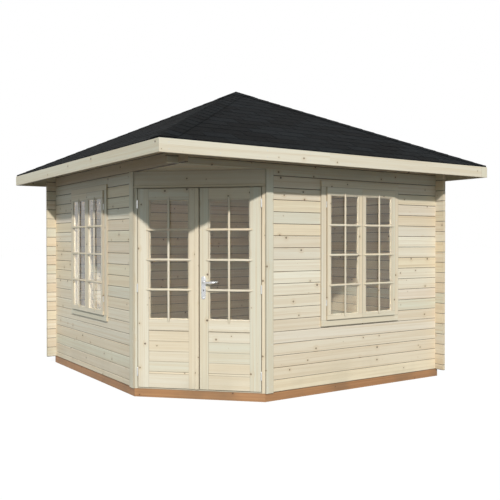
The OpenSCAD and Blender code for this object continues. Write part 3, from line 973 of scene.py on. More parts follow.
@dataclass(frozen=True)
class Looks:
    """Every finish on the pavilion, by the record's slot."""

    by_slot: dict[str, bpy.types.Material]
    grain: Grain
    # A near-black finish that paints the shade inside the keyholes.
    dark: bpy.types.Material

    @classmethod
    def make(cls, grain: Grain) -> Looks:
        """Builds all the finishes.

        Args:
            grain: writes the wood's coordinates.

        Returns:
            The finishes, ready to use.
        """
        effects = Effects()
        soil = colour(170, 160, 138)
        # The last colour of each wood below is the painted shade along its boards' long edges, in
        # the joints.
        pine = WoodFinish(
            "planed_pine",
            colours((230, 221, 201), (222, 211, 190), (229, 213, 186), (216, 210, 190)),
            colour(206, 182, 146), colour(84, 64, 48), soil, colour(120, 100, 76),
        )
        logs = WoodFinish(
            "log_pine",
            colours(
                (236, 228, 208), (222, 207, 184), (236, 219, 188), (216, 212, 192), (230, 216, 198)
            ),
            colour(202, 176, 140), colour(74, 58, 44), soil, colour(74, 56, 38),
            # The logs get a wider, stronger painted shade in the joints between them.
            joint_shade_width=0.0078, joint_shade_amount=0.85,
        )
        floor = WoodFinish(
            "laid_pine", colours((228, 210, 178), (220, 198, 162), (230, 214, 186)),
            colour(190, 156, 112), colour(84, 60, 42), colour(150, 136, 112), colour(110, 84, 56),
        )
        brown = WoodFinish(
            "impregnated_pine", colours((186, 138, 96), (172, 124, 84), (192, 148, 108)),
            colour(138, 94, 60), colour(70, 44, 28), colour(110, 90, 68), colour(92, 64, 42),
            knot_size=0.009, ring_share=0.65, soil_amount=0.45, relief=0.0012,
        )
        finishes = {
            "pine": pine,
            LOG_LOOK: logs,
            "floor_pine": floor,
            "impregnated_wood": brown,
            "window_glass": GlassFinish(),
            "zinc_steel": MetalFinish("zinc_plate", colour(214, 214, 212), 0.28, 0.45, 40.0),
            "lever_metal": MetalFinish("satin_aluminium", colour(206, 207, 208), 0.2, 0.34, 55.0),
            "bitumen_shingle": ShingleFinish(),
        }
        # A near-black finish that paints the shade inside the keyholes.
        shade = MetalFinish("keyhole_dark", colour(30, 30, 30), 0.5, 0.7, 60.0)
        by_slot = {slot: finish.make(effects) for slot, finish in finishes.items()}
        return cls(by_slot, grain, shade.make(effects))

    def finish(
        self, builder: Builder, body: str, slot: str, smooth: float = 35.0
    ) -> bpy.types.Object:
        """Finishes a piece with its slot's material."""
        return builder.finish(body, slot, self.by_slot[slot], self.grain, smooth)

    def dress(self, frame: dict) -> None:
        """Gives each of the frame's own nodes its grain and its slot's material."""
        for part in frame["record"]["subparts"]:
            node = frame["nodes"][part["node"]]
            look = LOG_LOOK if "_wall" in node.name else part["material_slot"]
            self.grain.write(node)
            node.data.materials.clear()
            node.data.materials.append(self.by_slot[look])
            LOG.info("%s: carried over as %s", node.name, look)


# ---- the frame -------------------------------------------------------------


@dataclass(frozen=True)
class Slope:
    """One slope of the pyramid: b is up the slope and c straight up."""

    axes: Axes
    half: float
    pitch: float

    def outline(self, back: float) -> list[Point]:
        """The slope's triangle, less a strip of the given width along each hip."""
        top = self.half / math.cos(self.pitch)
        side = self.half - back * math.sqrt(2)
        return [(-side, 0.0), (side, 0.0), (0.0, top * side / self.half)]


@dataclass(frozen=True)
class Plan:
    """Where the walls and the roof lie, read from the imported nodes."""

    nodes: dict[str, bpy.types.Object]
    half: float
    door: float
    rise: float

    @classmethod
    def read(cls, nodes: dict[str, bpy.types.Object]) -> Plan:
        """Reads the half width, the door wall's place and the roof's slope.

        Args:
            nodes: the frame's nodes by name.

        Returns:
            The plan.
        """
        base = points_of(nodes["bearers"])
        roof = points_of(nodes["roof_boards"])
        outer = roof[:, 0].max()
        edge_top = roof[roof[:, 0] > outer - 1e-4][:, 2].max()
        rise = (roof[:, 2].max() - edge_top) / outer
        return cls(nodes, base[:, 0].max(), (base[:, 0] + base[:, 1]).min() / 2, rise)

    def wall(self, wall: Wall) -> Axes:
        """A wall's own axes: along it, inwards and up."""
        x, y = Vector((1, 0, 0)), Vector((0, 1, 0))
        if wall is Wall.DOOR:
            near = Vector((self.door, self.door, 0))
            return Axes(near, (x - y) / math.sqrt(2), (x + y) / math.sqrt(2), UP)
        near = Vector((-self.half, -self.half, 0))
        return Axes(near, x, y, UP) if wall is Wall.RIGHT else Axes(near, y, x, UP)

    def slope(self, quarter: int, node: str) -> Slope:
        """The underside of one of a roof node's four slopes.

        Args:
            quarter: which slope, counted anticlockwise from the right-hand wall's.
            node: the node whose lower face it is.

        Returns:
            The slope.
        """
        along, out = compass(math.pi / 2 * quarter)
        low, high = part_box(node)
        pitch = math.atan(self.rise)
        up = -out * math.cos(pitch) + UP * math.sin(pitch)
        return Slope(Axes(out * high.x + UP * low.z, along, up, UP), high.x, pitch)

    def hip(self, quarter: int) -> tuple[Vector, Vector]:
        """The level way out to a corner of the roof, and the way up its hip."""
        out, _ = compass(math.pi / 2 * quarter + math.pi / 4)
        return out, (-out * math.sqrt(2) + UP * self.rise).normalized()

    def board_directions(self) -> list[tuple[Vector, Vector, Vector]]:
        """Every set of square directions that a board of this house may follow."""
        sets = [self.wall(Wall.RIGHT).directions(), self.wall(Wall.DOOR).directions()]
        for quarter in range(4):
            a, b, _ = self.slope(quarter, "roof_boards").axes.directions()
            out, up = self.hip(quarter)
            side = out.cross(UP)
            sets += [(a, b, a.cross(b)), (up, side, up.cross(side))]
        return sets

    def span(self, node: str, wall: Wall) -> Span:
        """A node's reach along a wall's axes."""
        return Span.of(self.nodes[node], self.wall(wall))


# ---- sub-assemblies --------------------------------------------------------


@dataclass
class Boarding:
    """The boards underfoot, under the porch corner and under the roofing."""

    plan: Plan
    looks: Looks
    floor_cover: float = 0.090
    porch_cover: float = 0.090
    roof_cover: float = 0.095
    joint: float = 0.0008
    ease: float = 0.0022
    hip_gap: float = 0.0002

    def lay_floor(self) -> None:
        """Lays the floor board by board, along the right-hand wall."""
        low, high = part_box("floor_boards")
        places = points_of(self.plan.nodes["floor_boards"])
        least = (places[:, 0] + places[:, 1]).min()
        outline = clip(rectangle(low.x, high.x, low.y, high.y), -1, -1, -least)
        axes = Axes(Vector(), Vector((1, 0, 0)), Vector((0, 1, 0)), UP)
        floor = Builder("floor_laid")
        for board in strips(outline, self.floor_cover, self.joint, low.y):
            floor.slab(board, axes, low.z, high.z, self.ease)
        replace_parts(self.looks.finish(floor, HOUSE, "floor_pine"), "floor_boards")

    def line_porch(self) -> None:
        """Boards the underside of the roofed corner in front of the door."""
        span = self.plan.span("porch_soffit", Wall.DOOR)
        half = (span.high.x - span.low.x) / 2
        outline = [(-half, span.high.y), (half, span.high.y), (0.0, span.low.y)]
        porch = Builder("porch_boards")
        for board in strips(outline, self.porch_cover, self.joint):
            porch.slab(board, self.plan.wall(Wall.DOOR), span.high.z, span.low.z, self.ease)
        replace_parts(self.looks.finish(porch, HOUSE, "pine"), "porch_soffit")

    def board_roof(self) -> None:
        """Boards the four slopes, with the eased edges downwards."""
        low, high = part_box("roof_boards")
        roof = Builder("roof_boarding")
        for quarter in range(4):
            slope = self.plan.slope(quarter, "roof_boards")
            rise = high.z - low.z - slope.half * self.plan.rise
            for board in strips(slope.outline(self.hip_gap), self.roof_cover, self.joint):
                roof.slab(board, slope.axes, rise, 0.0, self.ease)
        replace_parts(self.looks.finish(roof, HOUSE, "pine"), "roof_boards")


@dataclass(frozen=True)
class Hip:
    """A hip of the roof: its foot, the way up it, and its two slopes."""

    foot: Vector
    up: Vector
    wings: tuple[Vector, Vector]
    normals: tuple[Vector, Vector]


@dataclass
class Roofing:
    """Shingles in courses, folded caps on the hips and a cover on the point."""

    plan: Plan
    looks: Looks
    exposure: float = 0.143
    tab: float = 0.333
    slot: float = 0.007
    butt: float = 0.0045
    head: float = 0.0012
    sunk: float = 0.001
    lap: float = 0.02
    hip_gap: float = 0.004
    stray: float = 0.02
    unevenness: float = 0.0012
    scrap: float = 1e-4
    cap_half: float = 0.115
    cap_butt: float = 0.0085
    cap_head: float = 0.0052
    cap_under: float = 0.0015
    crease: float = 0.12
    eaves_hang: float = 0.108
    ridge_factor: float = 1.02
    ridge_swell: float = 0.001
    cover_half: float = 0.165
    cover_rise: float = 0.0125
    cover_depth: float = 0.005

    WELD = 1e-5  # corners closer than this are one
    UPRIGHT = 0.2  # a face whose normal rises less than this stands upright

    def sheet_top(self) -> float:
        """Straight height of the shingle sheet's upper face over its lower one."""
        low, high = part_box("roof_shingles")
        return high.z - low.z - high.x * self.plan.rise

    def lay_courses(self) -> None:
        """Lays the tabs of each slope over the plain sheet, its seed the slope's name."""
        base = self.sheet_top()
        for quarter, name in enumerate(("right", "rear_right", "rear_left", "left")):
            slope = self.plan.slope(quarter, "roof_shingles")
            outline = slope.outline(self.hip_gap)
            top = max(p[1] for p in outline)
            count = math.ceil(slope.half / self.tab) + 1
            chance = random.Random(name)
            course = Builder(f"shingles_{name}")
            for row in range(math.ceil(top / self.exposure)):
                low = row * self.exposure
                high = min(low + self.exposure + self.lap, top)
                shift = self.tab / 2 * (row % 2) + chance.uniform(-self.stray, self.stray)
                for i in range(-count, count):
                    left = i * self.tab + shift + self.slot / 2
                    dip = chance.uniform(0.0, self.unevenness)
                    tab = trimmed(rectangle(left, left + self.tab - self.slot, low, high), outline)
                    if abs(area_of(tab)) < self.scrap:
                        continue
                    fall = (self.butt - dip - self.head) / (self.exposure + self.lap)
                    upper = [(*p, base + self.butt - dip - (p[1] - low) * fall) for p in tab]
                    lower = [(*p, base - self.sunk) for p in tab]
                    course.loft([slope.axes.at(*p) for p in ring] for ring in (lower, upper))
            self.looks.finish(course, HOUSE, "bitumen_shingle", smooth=20)

    def hip(self, quarter: int) -> Hip:
        """One of the four hips, on top of the shingle sheet.

        Args:
            quarter: which hip, counted anticlockwise from the corner at +X +Y.

        Returns:
            The hip.
        """
        low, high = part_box("roof_shingles")
        pitch = math.atan(self.plan.rise)
        out, up = self.plan.hip(quarter)
        foot = out.normalized() * high.x * math.sqrt(2) + UP * (low.z + self.sheet_top())
        normals = []
        for lean in (-1, 1):
            face = (out + UP.cross(out) * lean).normalized()
            normals.append(face * math.sin(pitch) + UP * math.cos(pitch))
        # A wing falls away from the hip along its slope, square to the hip
        wings = [normal.cross(up).normalized() for normal in normals]
        return Hip(foot, up, tuple(w if w.z < 0 else -w for w in wings), tuple(normals))

    def cap_hips(self) -> None:
        """Folds caps over the four hips, each lapping the one below."""
        caps = Builder("hip_caps")
        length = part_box("roof_shingles")[1].x * math.sqrt(2 + self.plan.rise**2)
        for quarter in range(4):
            hip = self.hip(quarter)
            for i in range(int((length - self.cover_half) / self.exposure) + 1):
                start = i * self.exposure
                stop = start + self.exposure + self.lap
                hang = self.eaves_hang if i == 0 else 0.0
                caps.loft(
                    [
                        self.cap_ring(hip, start, hang, self.cap_butt),
                        self.cap_ring(hip, stop, 0.0, self.cap_head),
                    ]
                )
        self.looks.finish(caps, HOUSE, "bitumen_shingle", smooth=50)

    def cap_ring(self, hip: Hip, place: float, hang: float, lift: float) -> list[Vector]:
        """One cross-section of a hip cap.

        Args:
            hip: the hip that it lies on.
            place: distance up the hip.
            hang: how much further up the tips lie.
            lift: height of the upper face over the sheet.

        Returns:
            The ring's points in order.
        """
        start = hip.foot + hip.up * place
        ridge = (hip.normals[0] + hip.normals[1]).normalized()
        tips, creases = (
            [start + hip.up * hang * k + wing * (self.cap_half * k) for wing in hip.wings]
            for k in (1.0, self.crease)
        )
        one, two = (normal * lift for normal in hip.normals)
        under, other = (normal * self.cap_under for normal in hip.normals)
        swell = lift * self.ridge_factor + self.ridge_swell
        return [
            tips[0] + one, creases[0] + one, start + ridge * swell,
            creases[1] + two, tips[1] + two,
            tips[1] + other, start + ridge * self.cap_under, tips[0] + under,
        ]

    def cover_point(self) -> None:
        """Covers the roof's point with a folded square of roofing."""
        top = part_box("roof_shingles")[1].z + self.cover_rise
        cover = Builder("point_cover")
        h = self.cover_half
        for quarter in range(4):
            out, right = compass(math.pi / 2 * quarter)
            axes = Axes(UP * top, out, -right, UP)
            cover.loft(
                [axes.at(x, y, -x * self.plan.rise - depth) for x, y in ((0, 0), (h, -h), (h, h))]
                for depth in (self.cover_depth, 0.0)
            )
        bmesh.ops.remove_doubles(cover.bm, verts=cover.bm.verts, dist=self.WELD)
        inner = [f for f in cover.bm.faces if self.is_seam(f)]
        bmesh.ops.delete(cover.bm, geom=inner, context="FACES_ONLY")
        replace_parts(self.looks.finish(cover, HOUSE, "bitumen_shingle", smooth=20), "apex_cap")

    def is_seam(self, face: bmesh.types.BMFace) -> bool:
        """Whether a face stands upright inside the cover, on a diagonal."""
        diagonal = all(abs(abs(v.co.x) - abs(v.co.y)) < self.WELD for v in face.verts)
        return diagonal and abs(face.normal.z) < self.UPRIGHT


@dataclass(kw_only=True)
class Glazed:
    """Joinery with panes in two columns: its bars, and the beads that hold its glass."""

    plan: Plan
    looks: Looks
    bar_width: float
    bar_over: float
    bead: float
    bead_sunk: float
    bead_share: float
    bar_out: float = 0.009
    upright_share: float = 0.9
    nose: float = 0.010
    rows: int = 4
    gap: float = 0.0002

    name: str = field(init=False)
    body: str = field(init=False, default=HOUSE)
    axes: Axes = field(init=False)
    frame: Span = field(init=False)
    glass: Span = field(init=False)

    def openings(self) -> list[Box]:
        """Each glass opening: lowest and highest place along the wall, then height."""
        raise NotImplementedError

    def fit_bars(self) -> None:
        """Fits the upright and the cross bars on the outer face, over each opening."""
        bars = Builder(f"{self.name}_bars")
        upright = Axes(self.axes.origin, UP, -self.axes.b, self.axes.a)
        cross = Axes(self.axes.origin, self.axes.a, -self.axes.b, UP)
        front, over = -self.frame.low.y, self.bar_over
        for a0, a1, c0, c1 in self.openings():
            size = (self.bar_width, self.bar_out * self.upright_share)
            bars.bar(upright, (c0 - over, c1 + over), ((a0 + a1) / 2, front), size, self.nose)
            size = (self.bar_width, self.bar_out)
            for i in range(1, self.rows):
                height = c0 + (c1 - c0) * i / self.rows
                bars.bar(cross, (a0 - over, a1 + over), (height, front), size, self.nose)
        self.looks.finish(bars, self.body, "pine", smooth=30)

    def fit_beads(self) -> None:
        """Fits the beads that hold the glass, on both faces."""
        beads = Builder(f"{self.name}_beads")
        faces = (
            (self.glass.low.y, self.frame.low.y + self.bead_sunk),
            (self.glass.high.y, self.frame.high.y - self.bead_sunk),
        )
        for box in self.openings():
            for seat, lip in faces:
                back = self.bead_share * lip + (1 - self.bead_share) * seat
                inner = [(self.bead, seat), (self.bead, back)]
                beads.border(self.axes, box, [(self.gap, seat), *inner, (self.gap, lip)])
        self.looks.finish(beads, self.body, "pine", smooth=30)


@dataclass(kw_only=True)
class Window(Glazed):
    """A pair of sashes, with the near sash's hinges."""

    wall: Wall
    bar_width: float = 0.023
    bar_over: float = 0.022
    bead: float = 0.009
    bead_sunk: float = 0.002
    bead_share: float = 0.35
    groove: float = 0.007
    meeting: float = 0.001
    hinge_radius: float = 0.0055
    hinge_height: float = 0.062
    hinge_rim: float = 0.001
    hinge_shares: Point = (0.13, 0.87)
    arm: float = 0.003
    arm_reach: float = 0.008
    arm_out: float = 0.0003

    def __post_init__(self) -> None:
        """Measures the sashes, the glass and the casing."""
        side = self.wall.value
        self.name = f"{side}_window"
        self.axes = self.plan.wall(self.wall)
        self.frame = self.plan.span(f"{side}_sashes", self.wall)
        self.glass = self.plan.span(f"{side}_panes", self.wall)
        self.casing = self.plan.span(f"{side}_casing", self.wall)

    def openings(self) -> list[Box]:
        """The two sashes' glass openings, from how far the glass reaches into a stile."""
        low, high = self.frame.low, self.frame.high
        rail = self.glass.low.x - low.x + self.groove
        middle = (low.x + high.x) / 2
        bottom, top = low.z + rail, self.glass.high.z - self.groove
        return [
            (low.x + rail, middle - self.meeting - rail, bottom, top),
            (middle + self.meeting + rail, high.x - rail, bottom, top),
        ]

    def hang(self) -> None:
        """Sets two pin hinges on the near sash's outer edge."""
        hinges = Builder(f"{self.name}_hinges")
        r, h, rim = self.hinge_radius, self.hinge_height, self.hinge_rim
        edge, face = self.frame.low.x, self.casing.low.y
        sash_out = self.frame.low.y - face
        for share in self.hinge_shares:
            z = self.frame.low.z + share * (self.frame.high.z - self.frame.low.z)
            pivot = Axes(self.axes.at(edge, face - r - SKIN, z), UP, self.axes.a, self.axes.b)
            for low, high in ((-h / 2, -SKIN), (SKIN, h / 2)):
                profile = [(low, r - rim), (low + rim, r), (high - rim, r), (high, r - rim)]
                hinges.lathe(pivot, profile, sides=16)
            for rise, out, side in ((h / 4, sash_out, 1), (-h / 4, 0.0, -1)):
                start = self.axes.at(edge, face - r, z + rise)
                reach = edge + side * self.arm_reach
                tip = self.axes.at(reach, face + out - self.arm_out, z + rise)
                across = UP.cross((tip - start).normalized())
                hinges.sweep([(p, across, UP, self.arm, self.arm) for p in (start, tip)], sides=10)
        self.looks.finish(hinges, HOUSE, "zinc_steel")


@dataclass(kw_only=True)
class Leaf(Glazed):
    """A door leaf, with the boards of its lower panel and its hinges' caps."""

    hand: Hand
    bar_width: float = 0.024
    bar_over: float = 0.024
    bead: float = 0.011
    bead_sunk: float = 0.003
    bead_share: float = 0.4
    rebate: float = 0.009
    fit: float = 0.001
    seat: float = 0.0003
    board_cover: float = 0.096
    board_back: float = 0.0025
    board_gap: float = 0.0004
    board_ease: float = 0.0009
    side_gap: float = 0.0005
    top_joint: float = 0.006
    foot_mould: float = 0.020
    mould_flat: float = 0.004
    mould_share: float = 0.4
    barrel: float = 0.075
    barrel_radius: float = 0.0075
    barrel_joint: float = 0.05

    # A hinge cap's turned profile
    CAP = ((0.0002, 0.0066), (0.0012, 0.0072), (0.0030, 0.0066), (0.0044, 0.0042), (0.0048, 0.0012))

    def __post_init__(self) -> None:
        """Measures the leaf, its glass and its panel."""
        self.name = self.body = f"{self.hand.name.lower()}_leaf"
        self.axes = self.plan.wall(Wall.DOOR)
        self.frame = self.plan.span(f"{self.name}_frame", Wall.DOOR)
        self.glass = self.plan.span(f"{self.name}_glass", Wall.DOOR)
        self.panel = self.plan.span(f"{self.name}_panel", Wall.DOOR)

    def opening(self, sheet: Span) -> Box:
        """The opening that the glass or the panel fills, from its reach in its groove."""
        sides = self.rebate - self.fit
        foot = sheet.low.z + self.rebate - self.seat
        return sheet.low.x + sides, sheet.high.x - sides, foot, sheet.high.z - sides

    def openings(self) -> list[Box]:
        """The leaf's one glass opening."""
        return [self.opening(self.glass)]

    def board_panel(self) -> None:
        """Faces the panel with boards laid across, over a bevelled foot moulding."""
        boards = Builder(f"{self.name}_boards")
        a0, a1, c0, c1 = self.opening(self.panel)
        a0, a1 = a0 + self.side_gap, a1 - self.side_gap
        lay = self.axes.flat()
        outline = rectangle(a0, a1, c0 + self.foot_mould, c1 - self.top_joint)
        count = round((c1 - c0 - self.foot_mould) / self.board_cover)
        cover = (outline[2][1] - outline[0][1]) / count
        foot, top = c0 + self.seat, c0 + self.foot_mould - self.side_gap
        for seat, front in (
            (self.panel.low.y, self.frame.low.y + self.board_back),
            (self.panel.high.y, self.frame.high.y - self.board_back),
        ):
            for board in strips(outline, cover, self.board_gap):
                boards.slab(board, lay, seat, front, self.board_ease)
            lip = self.mould_share * front + (1 - self.mould_share) * seat
            bevel = [(c0 + self.mould_flat, front), (top, lip)]
            mould = [(foot, seat), (foot, front), *bevel, (top, seat)]
            boards.loft([lay.at(a, z, n) for z, n in mould] for a in (a0, a1))
        self.looks.finish(boards, self.body, "pine", smooth=30)

    def cap_hinges(self) -> None:
        """Ends the hinge barrels in turned caps, above on the leaf and below on the post."""
        node = f"{self.name}_hinges"
        span = self.plan.span(node, Wall.DOOR)
        inset_by = self.barrel_radius
        edge = span.high.x - inset_by if self.hand is Hand.RIGHT else span.low.x + inset_by
        heights = sorted({round(z, 4) for z in points_of(self.plan.nodes[node])[:, 2]})
        tops = [z for z in heights if self.is_top(z, heights)]
        feet = [z - self.barrel for z in tops]
        for name, body, turn, places in (("upper", self.body, 1, tops), ("lower", HOUSE, -1, feet)):
            caps = Builder(f"{self.name}_hinge_caps_{name}")
            for z in places:
                pivot = self.axes.at(edge, span.low.y + inset_by, z)
                caps.lathe(Axes(pivot, UP * turn, self.axes.a, self.axes.b), self.CAP, sides=16)
            self.looks.finish(caps, body, "zinc_steel", smooth=40)

    def is_top(self, height: float, heights: Sequence[float]) -> bool:
        """Whether a height is the upper end of a barrel: nothing lies just above it."""
        return not any(0 < other - height < self.barrel_joint for other in heights)


@dataclass
class LeverSet:
    """The lever and its long plates, on both faces of the right-hand leaf."""

    plan: Plan
    looks: Looks
    neck: float = 0.0085
    grip: Point = (0.0095, 0.0062)
    bend: float = 0.017
    bend_steps: int = 6
    spindle: float = 0.0078
    edge: float = 0.0018
    thick: float = 0.0067
    rounding: int = 10
    key_radius: float = 0.0048
    key_drop: float = 0.072
    key_slot: Point = (0.0027, 0.0135)
    key_depths: Point = (-0.0012, 0.00035)
    end_gap: float = 0.001

    # Turned profiles, as (out from the plate, radius)
    COLLAR = ((-SKIN, 0.0150), (0.0030, 0.0150), (0.0042, 0.0138), (0.0042, 0.0090))
    SCREW = ((-SKIN, 0.0038), (0.0004, 0.0036), (0.0011, 0.0022), (0.0013, 0.0004))
    NECK = ((0.0, 0.0108), (0.004, 0.0100), (0.008, 0.0088))
    # Along the grip: the share of its length, how far it sags inwards, and its thickness
    GRIP = (
        (0.25, 0.0, 1.0), (0.5, 0.0008, 1.0), (0.75, 0.002, 0.98),
        (0.9, 0.0034, 0.94), (0.97, 0.0042, 0.78), (1.0, 0.0046, 0.35),
    )

    def __post_init__(self) -> None:
        """Measures the plain lever and plates that these stand for."""
        self.axes = self.plan.wall(Wall.DOOR)
        self.lever = self.plan.span("door_lever", Wall.DOOR)
        self.plates = self.plan.span("lever_plates", Wall.DOOR)
        self.middle = (self.plates.low.x + self.plates.high.x) / 2
        self.height = (self.lever.low.z + self.lever.high.z) / 2
        self.faces = ((self.plates.low.y, -1), (self.plates.high.y, 1))

    def arc(
        self, height: float, radius: float, start: float, turn: float, steps: int
    ) -> list[Point]:
        """Corners on an arc about the plates' middle line.

        Args:
            height: the arc's centre.
            radius: its radius.
            start: the angle that it starts at, in degrees.
            turn: how far it turns, in degrees.
            steps: how many edges it has.

        Returns:
            The corners, anticlockwise.
        """
        turns = [math.radians(start + turn * i / steps) for i in range(steps + 1)]
        x, y = self.middle, height
        return [(x + radius * math.cos(t), y + radius * math.sin(t)) for t in turns]

    def make_plates(self) -> None:
        """Makes the two plates with rounded ends, a collar and screws."""
        plates = Builder("lever_plates_shaped")
        half = (self.plates.high.x - self.plates.low.x) / 2
        low, high = self.plates.low.z + half, self.plates.high.z - half
        lay, edge = self.axes.flat(), self.edge
        for face, way in self.faces:
            rims = ((0.0, self.thick), (0.0, edge), (edge * 0.4, edge * 0.35), (edge * 1.4, 0.0))
            plates.loft(
                [
                    lay.at(*p, face - way * deep)
                    for centre, start in ((high, 0.0), (low, 180.0))
                    for p in self.arc(centre, half - back, start, 180.0, self.rounding)
                ]
                for back, deep in rims
            )
            turned = (
                (self.height, self.COLLAR, 28),
                (low - half / 4, self.SCREW, 16),
                (high + half / 4, self.SCREW, 16),
            )
            for z, profile, sides in turned:
                centre = self.axes.at(self.middle, face, z)
                plates.lathe(Axes(centre, self.axes.b * way, self.axes.a, UP), profile, sides)
        piece = self.looks.finish(plates, "right_leaf", "lever_metal", smooth=40)
        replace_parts(piece, "lever_plates")

    def cut_keyholes(self) -> None:
        """Sets a dark insert in the shape of a keyhole in each plate, below the lever: painted
        shade where the keyhole opens into the lock.
        """
        holes = Builder("keyholes")
        z, (half, drop) = self.height - self.key_drop, self.key_slot
        outline = self.arc(z, self.key_radius, -62.0, 304.0, 14)
        outline += [(self.middle - half, z - drop), (self.middle + half, z - drop)]
        lay = self.axes.flat()
        for face, way in self.faces:
            holes.loft([lay.at(*p, face + way * d) for p in outline] for d in self.key_depths)
        holes.finish("right_leaf", "lever_metal", self.looks.dark, self.looks.grain, smooth=30)

    def half_path(self, start: Vector, out: Vector, depth: float) -> list[tuple]:
        """The path of one lever: out from the plate, round the bend and along the grip.

        Args:
            start: where it leaves the plate.
            out: the way out of the leaf.
            depth: how far the plain lever stands out from the plate.

        Returns:
            The stops, ready to sweep an oval along.
        """
        a, bend, (tall, thin) = self.axes.a, self.bend, self.grip
        straight = depth - bend - self.neck
        path = [(start + out * d, a, UP, r, r) for d, r in (*self.NECK, (straight, self.neck))]
        for i in range(1, self.bend_steps + 1):
            k = i / self.bend_steps
            t = math.radians(90 * k)
            spot = start + out * (straight + bend * math.sin(t)) + a * (bend * (1 - math.cos(t)))
            radii = (self.neck * (1 - k) + thin * k, self.neck * (1 - k) + tall * k)
            path.append((spot, a * math.cos(t) - out * math.sin(t), UP, *radii))
        length = self.lever.high.x - self.middle - bend - self.end_gap
        for share, sag, k in self.GRIP:
            spot = start + out * (depth - self.neck - sag) + a * (bend + length * share)
            path.append((spot, -out, UP, thin * k, tall * k))
        return path

    def make_lever(self) -> None:
        """Makes the spindle with a swept lever on each end."""
        lever = Builder("door_lever_shaped")
        a, n = self.axes.a, self.axes.b
        centre = self.axes.at(self.middle, 0.0, self.height)
        low, high = self.plates.low.y, self.plates.high.y
        spindle = [(low + self.end_gap, self.spindle), (high - self.end_gap, self.spindle)]
        lever.lathe(Axes(centre, n, a, UP), spindle, sides=24)
        for (face, way), end in zip(self.faces, (self.lever.low.y, self.lever.high.y)):
            lever.sweep(self.half_path(centre + n * face, n * way, abs(end - face)), sides=20)
        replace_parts(self.looks.finish(lever, "lever", "lever_metal", smooth=60), "door_lever")


@dataclass
class Fixings:
    """Domed screws in the casings, the corner trims and the fascias."""

    plan: Plan
    looks: Looks
    radius: float = 0.0042
    dome: float = 0.0014
    edge: float = 0.028
    trim_end: float = 0.06
    trim_side: float = 0.018
    fascia_end: float = 0.09
    fascia_height: float = 0.112
    trim_depth: float = 0.03
    casing_rows: int = 5
    trim_rows: int = 6
    fascia_rows: int = 9

    def drive(self, builder: Builder, axes: Axes, a: float, face: float, c: float) -> None:
        """Adds one screw's head.

        Args:
            builder: collects the heads.
            axes: the wall's axes.
            a: its place along the wall.
            face: the face that it is driven into, on the second axis.
            c: its height.
        """
        r, d = self.radius, self.dome
        profile = [(-SKIN, r), (0.25 * d, r * 0.98), (0.8 * d, r * 0.6), (d, r * 0.12)]
        builder.lathe(Axes(axes.at(a, face, c), -axes.b, axes.a, axes.c), profile, sides=12)

    @staticmethod
    def spread(start: float, reach: float, count: int) -> list[float]:
        """Evenly spaced places over a reach, both ends among them."""
        return [start + reach * i / (count - 1) for i in range(count)]

    def drive_wall(self, screws: Builder, wall: Wall) -> None:
        """Drives the screws of a window's casing and of the corner trim beside it."""
        axes = self.plan.wall(wall)
        casing = self.plan.span(f"{wall.value}_casing", wall)
        low, high, edge = casing.low, casing.high, self.edge
        for z in self.spread(low.z + edge, high.z - low.z - 2 * edge, self.casing_rows):
            for a in (low.x + edge, high.x - edge):
                self.drive(screws, axes, a, low.y, z)
        for z in (low.z + edge, high.z - edge):
            self.drive(screws, axes, (low.x + high.x) / 2, low.y, z)
        places = points_of(self.plan.nodes["corner_trims"]) - np.array(axes.origin)
        near = np.abs(places @ np.array(axes.b)) < self.trim_depth
        mine = places[near] @ np.array([list(axes.a), list(UP)]).T
        (a0, z0), (a1, _) = mine.min(0), mine.max(0)
        reach = np.ptp(mine[:, 1]) - 2 * self.trim_end
        for z in self.spread(z0 + self.trim_end, reach, self.trim_rows):
            for a in (a0 + self.trim_side, a1 - self.trim_side):
                self.drive(screws, axes, a, low.y, z)

    def make(self) -> None:
        """Drives every screw."""
        screws = Builder("screws")
        for wall in (Wall.RIGHT, Wall.LEFT):
            self.drive_wall(screws, wall)
        low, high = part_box("fascias")
        for quarter in range(4):
            along, out = compass(math.pi / 2 * quarter)
            axes = Axes(out * high.x, along, -out, UP)
            reach = 2 * high.x - 2 * self.fascia_end
            for a in self.spread(-high.x + self.fascia_end, reach, self.fascia_rows):
                for z in (low.z + self.edge, low.z + self.fascia_height - self.edge):
                    self.drive(screws, axes, a, 0.0, z)
        self.looks.finish(screws, HOUSE, "zinc_steel", smooth=50)


# ---- the studio ------------------------------------------------------------


